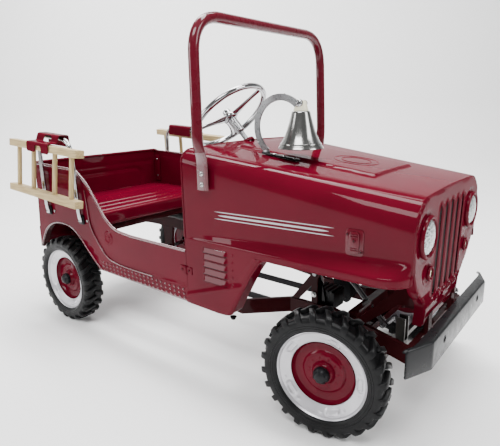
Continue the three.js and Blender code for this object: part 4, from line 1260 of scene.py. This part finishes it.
# ------------------------------------------------------------------ chassis, kept from the CAD
def finish_cad_nodes():
    """Paint or metal on the nodes that keep their CAD shape, with slightly broken edges."""
    pairs = {CHASSIS: ("frame_rail", "nose_brace", "pedal_bracket", "rear_axle_hanger", "steering_knuckle"),
             BLACK: ("pedal_arm", "drive_rod"), DARK_PLASTIC: ("pedal_block",)}
    singles = {CHASSIS: ("frame_rear_bend", "front_cross_member", "front_axle_beam", "shaft_lower_bearing"),
               STEEL: ("steering_shaft", "rear_axle", "pedal_shaft"), GREASED: ("tie_rod",)}
    looks = [(name + "_" + side, material) for material, names in pairs.items() for name in names
             for side, _ in SIDES]
    looks += [(name, material) for material, names in singles.items() for name in names]
    for name, material in looks:
        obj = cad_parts[name]
        obj.data.materials.clear()
        obj.data.materials.append(material)
        obj.data.shade_smooth()
        obj.data.set_sharp_from_angle(angle=math.radians(32))
        add_bevel(obj, 0.8)


def chassis_fasteners():
    heads = [bolt((x, s * y, z), (0, s, 0), 8, 4) for _, s in SIDES
             for x, y, z in ((470, 128.4, 126), (0, 128.3, 172), (594, 66, 160), (782, 88.6, 228))]
    piece("chassis_bolts", merge(*heads), ZINC, bevel=0.25)
    feet = [bolt((500, s * 178, 134), (0, 0, -1), 9, 5) for _, s in SIDES]
    piece("cowl_foot_bolts", merge(*feet), BLACK, bevel=0.25)


# ------------------------------------------------------------------ studio
CAMERA_AT = (1000.5, -748.4, 491.1)


def studio():
    """A sheet of pale paper that curves up behind the car, and the lights."""
    half_width = 6.4
    mesh = bpy.data.meshes.new("studio_floor")
    rows = [(-3.2, 0), (0.9, 0), (1.4, 0.03), (1.8, 0.16), (2.1, 0.5), (2.2, 1.2), (2.2, 3.0)]
    away = Vector((-654.5, 748.4, 0)).normalized()  # from the camera past the car
    side = Vector((-away.y, away.x, 0))
    points = [away * d + side * w + Vector((0, 0, z)) for d, z in rows for w in (-half_width, half_width)]
    faces = [(2 * k, 2 * k + 1, 2 * k + 3, 2 * k + 2) for k in range(len(rows) - 1)]
    mesh.from_pydata(points, [], faces)
    mesh.shade_smooth()
    floor = bpy.data.objects.new("studio_floor", mesh)
    bpy.context.scene.collection.objects.link(floor)
    paper = new_material("studio_paper", (0.95, 0.95, 0.95), 0.85)
    bump(paper, noise(paper, 200), 0.02, 0.0002)
    mesh.materials.append(paper)
    world = bpy.data.worlds.new("studio_light")
    world.use_nodes = True
    background = world.node_tree.nodes["Background"]
    background.inputs["Color"].default_value = (1, 1, 1, 1)
    background.inputs["Strength"].default_value = 0.3
    bpy.context.scene.world = world
    car = (0.0, 0.0, 0.2)
    for light in (("key", (0.6, -1.7, 2.5), car, 1.6, 0.8, 58), ("top", (0.0, 0.3, 2.6), car, 2.6, 0.6, 104),
                  ("louvre_glint", (-1.5, -1.8, 1.0), car, 0.9, 0.9, 26),
                  ("rim", (-1.8, 1.2, 1.7), car, 1.2, 1.2, 26), ("front", (2.2, 0.4, 1.6), car, 1.0, 1.0, 30),
                  ("backdrop", (-0.5, 0.6, 2.8), (-1.5, 1.7, 0.5), 2.8, 0.5, 60)):
        area_light(*light)


def area_light(name, at, target, width, height, power):
    light = bpy.data.lights.new(name, "AREA")
    light.shape = "RECTANGLE"
    light.size, light.size_y = width, height
    light.energy = power
    lamp = bpy.data.objects.new(name, light)
    lamp.location = at
    lamp.rotation_euler = (Vector(target) - Vector(at)).to_track_quat("-Z", "Y").to_euler()
    bpy.context.scene.collection.objects.link(lamp)


def camera():
    data = bpy.data.cameras.new("camera")
    data.lens = 34.0
    data.sensor_width = 36.0
    data.shift_x = -0.0065
    data.shift_y = -0.0037
    data.clip_start = 0.05
    obj = bpy.data.objects.new("camera", data)
    yaw, pitch, roll = math.radians(128.43), math.radians(13.87), math.radians(-1.03)
    ahead = Vector((math.cos(yaw) * math.cos(pitch), math.sin(yaw) * math.cos(pitch), -math.sin(pitch)))
    right = Vector((math.sin(yaw), -math.cos(yaw), 0))
    up = right.cross(ahead)
    right, up = (right * math.cos(roll) + up * math.sin(roll), up * math.cos(roll) - right * math.sin(roll))
    matrix = Matrix((right, up, -ahead)).transposed().to_4x4()
    matrix.translation = place(CAMERA_AT)
    obj.matrix_world = matrix
    bpy.context.scene.collection.objects.link(obj)
    bpy.context.scene.camera = obj


for build in (tub_sides, rear_panel, seat, door_hinges, hood_shell, cowl_skirts, dash, hood_trim, grille,
              lamps, latches, hoop, bumper, bumperettes, wheels, steering, bell, bell_strap, ladders,
              ladder_saddles, ladder_racks, finish_cad_nodes, chassis_fasteners, studio, camera):
    build()

bpy.context.view_layer.update()
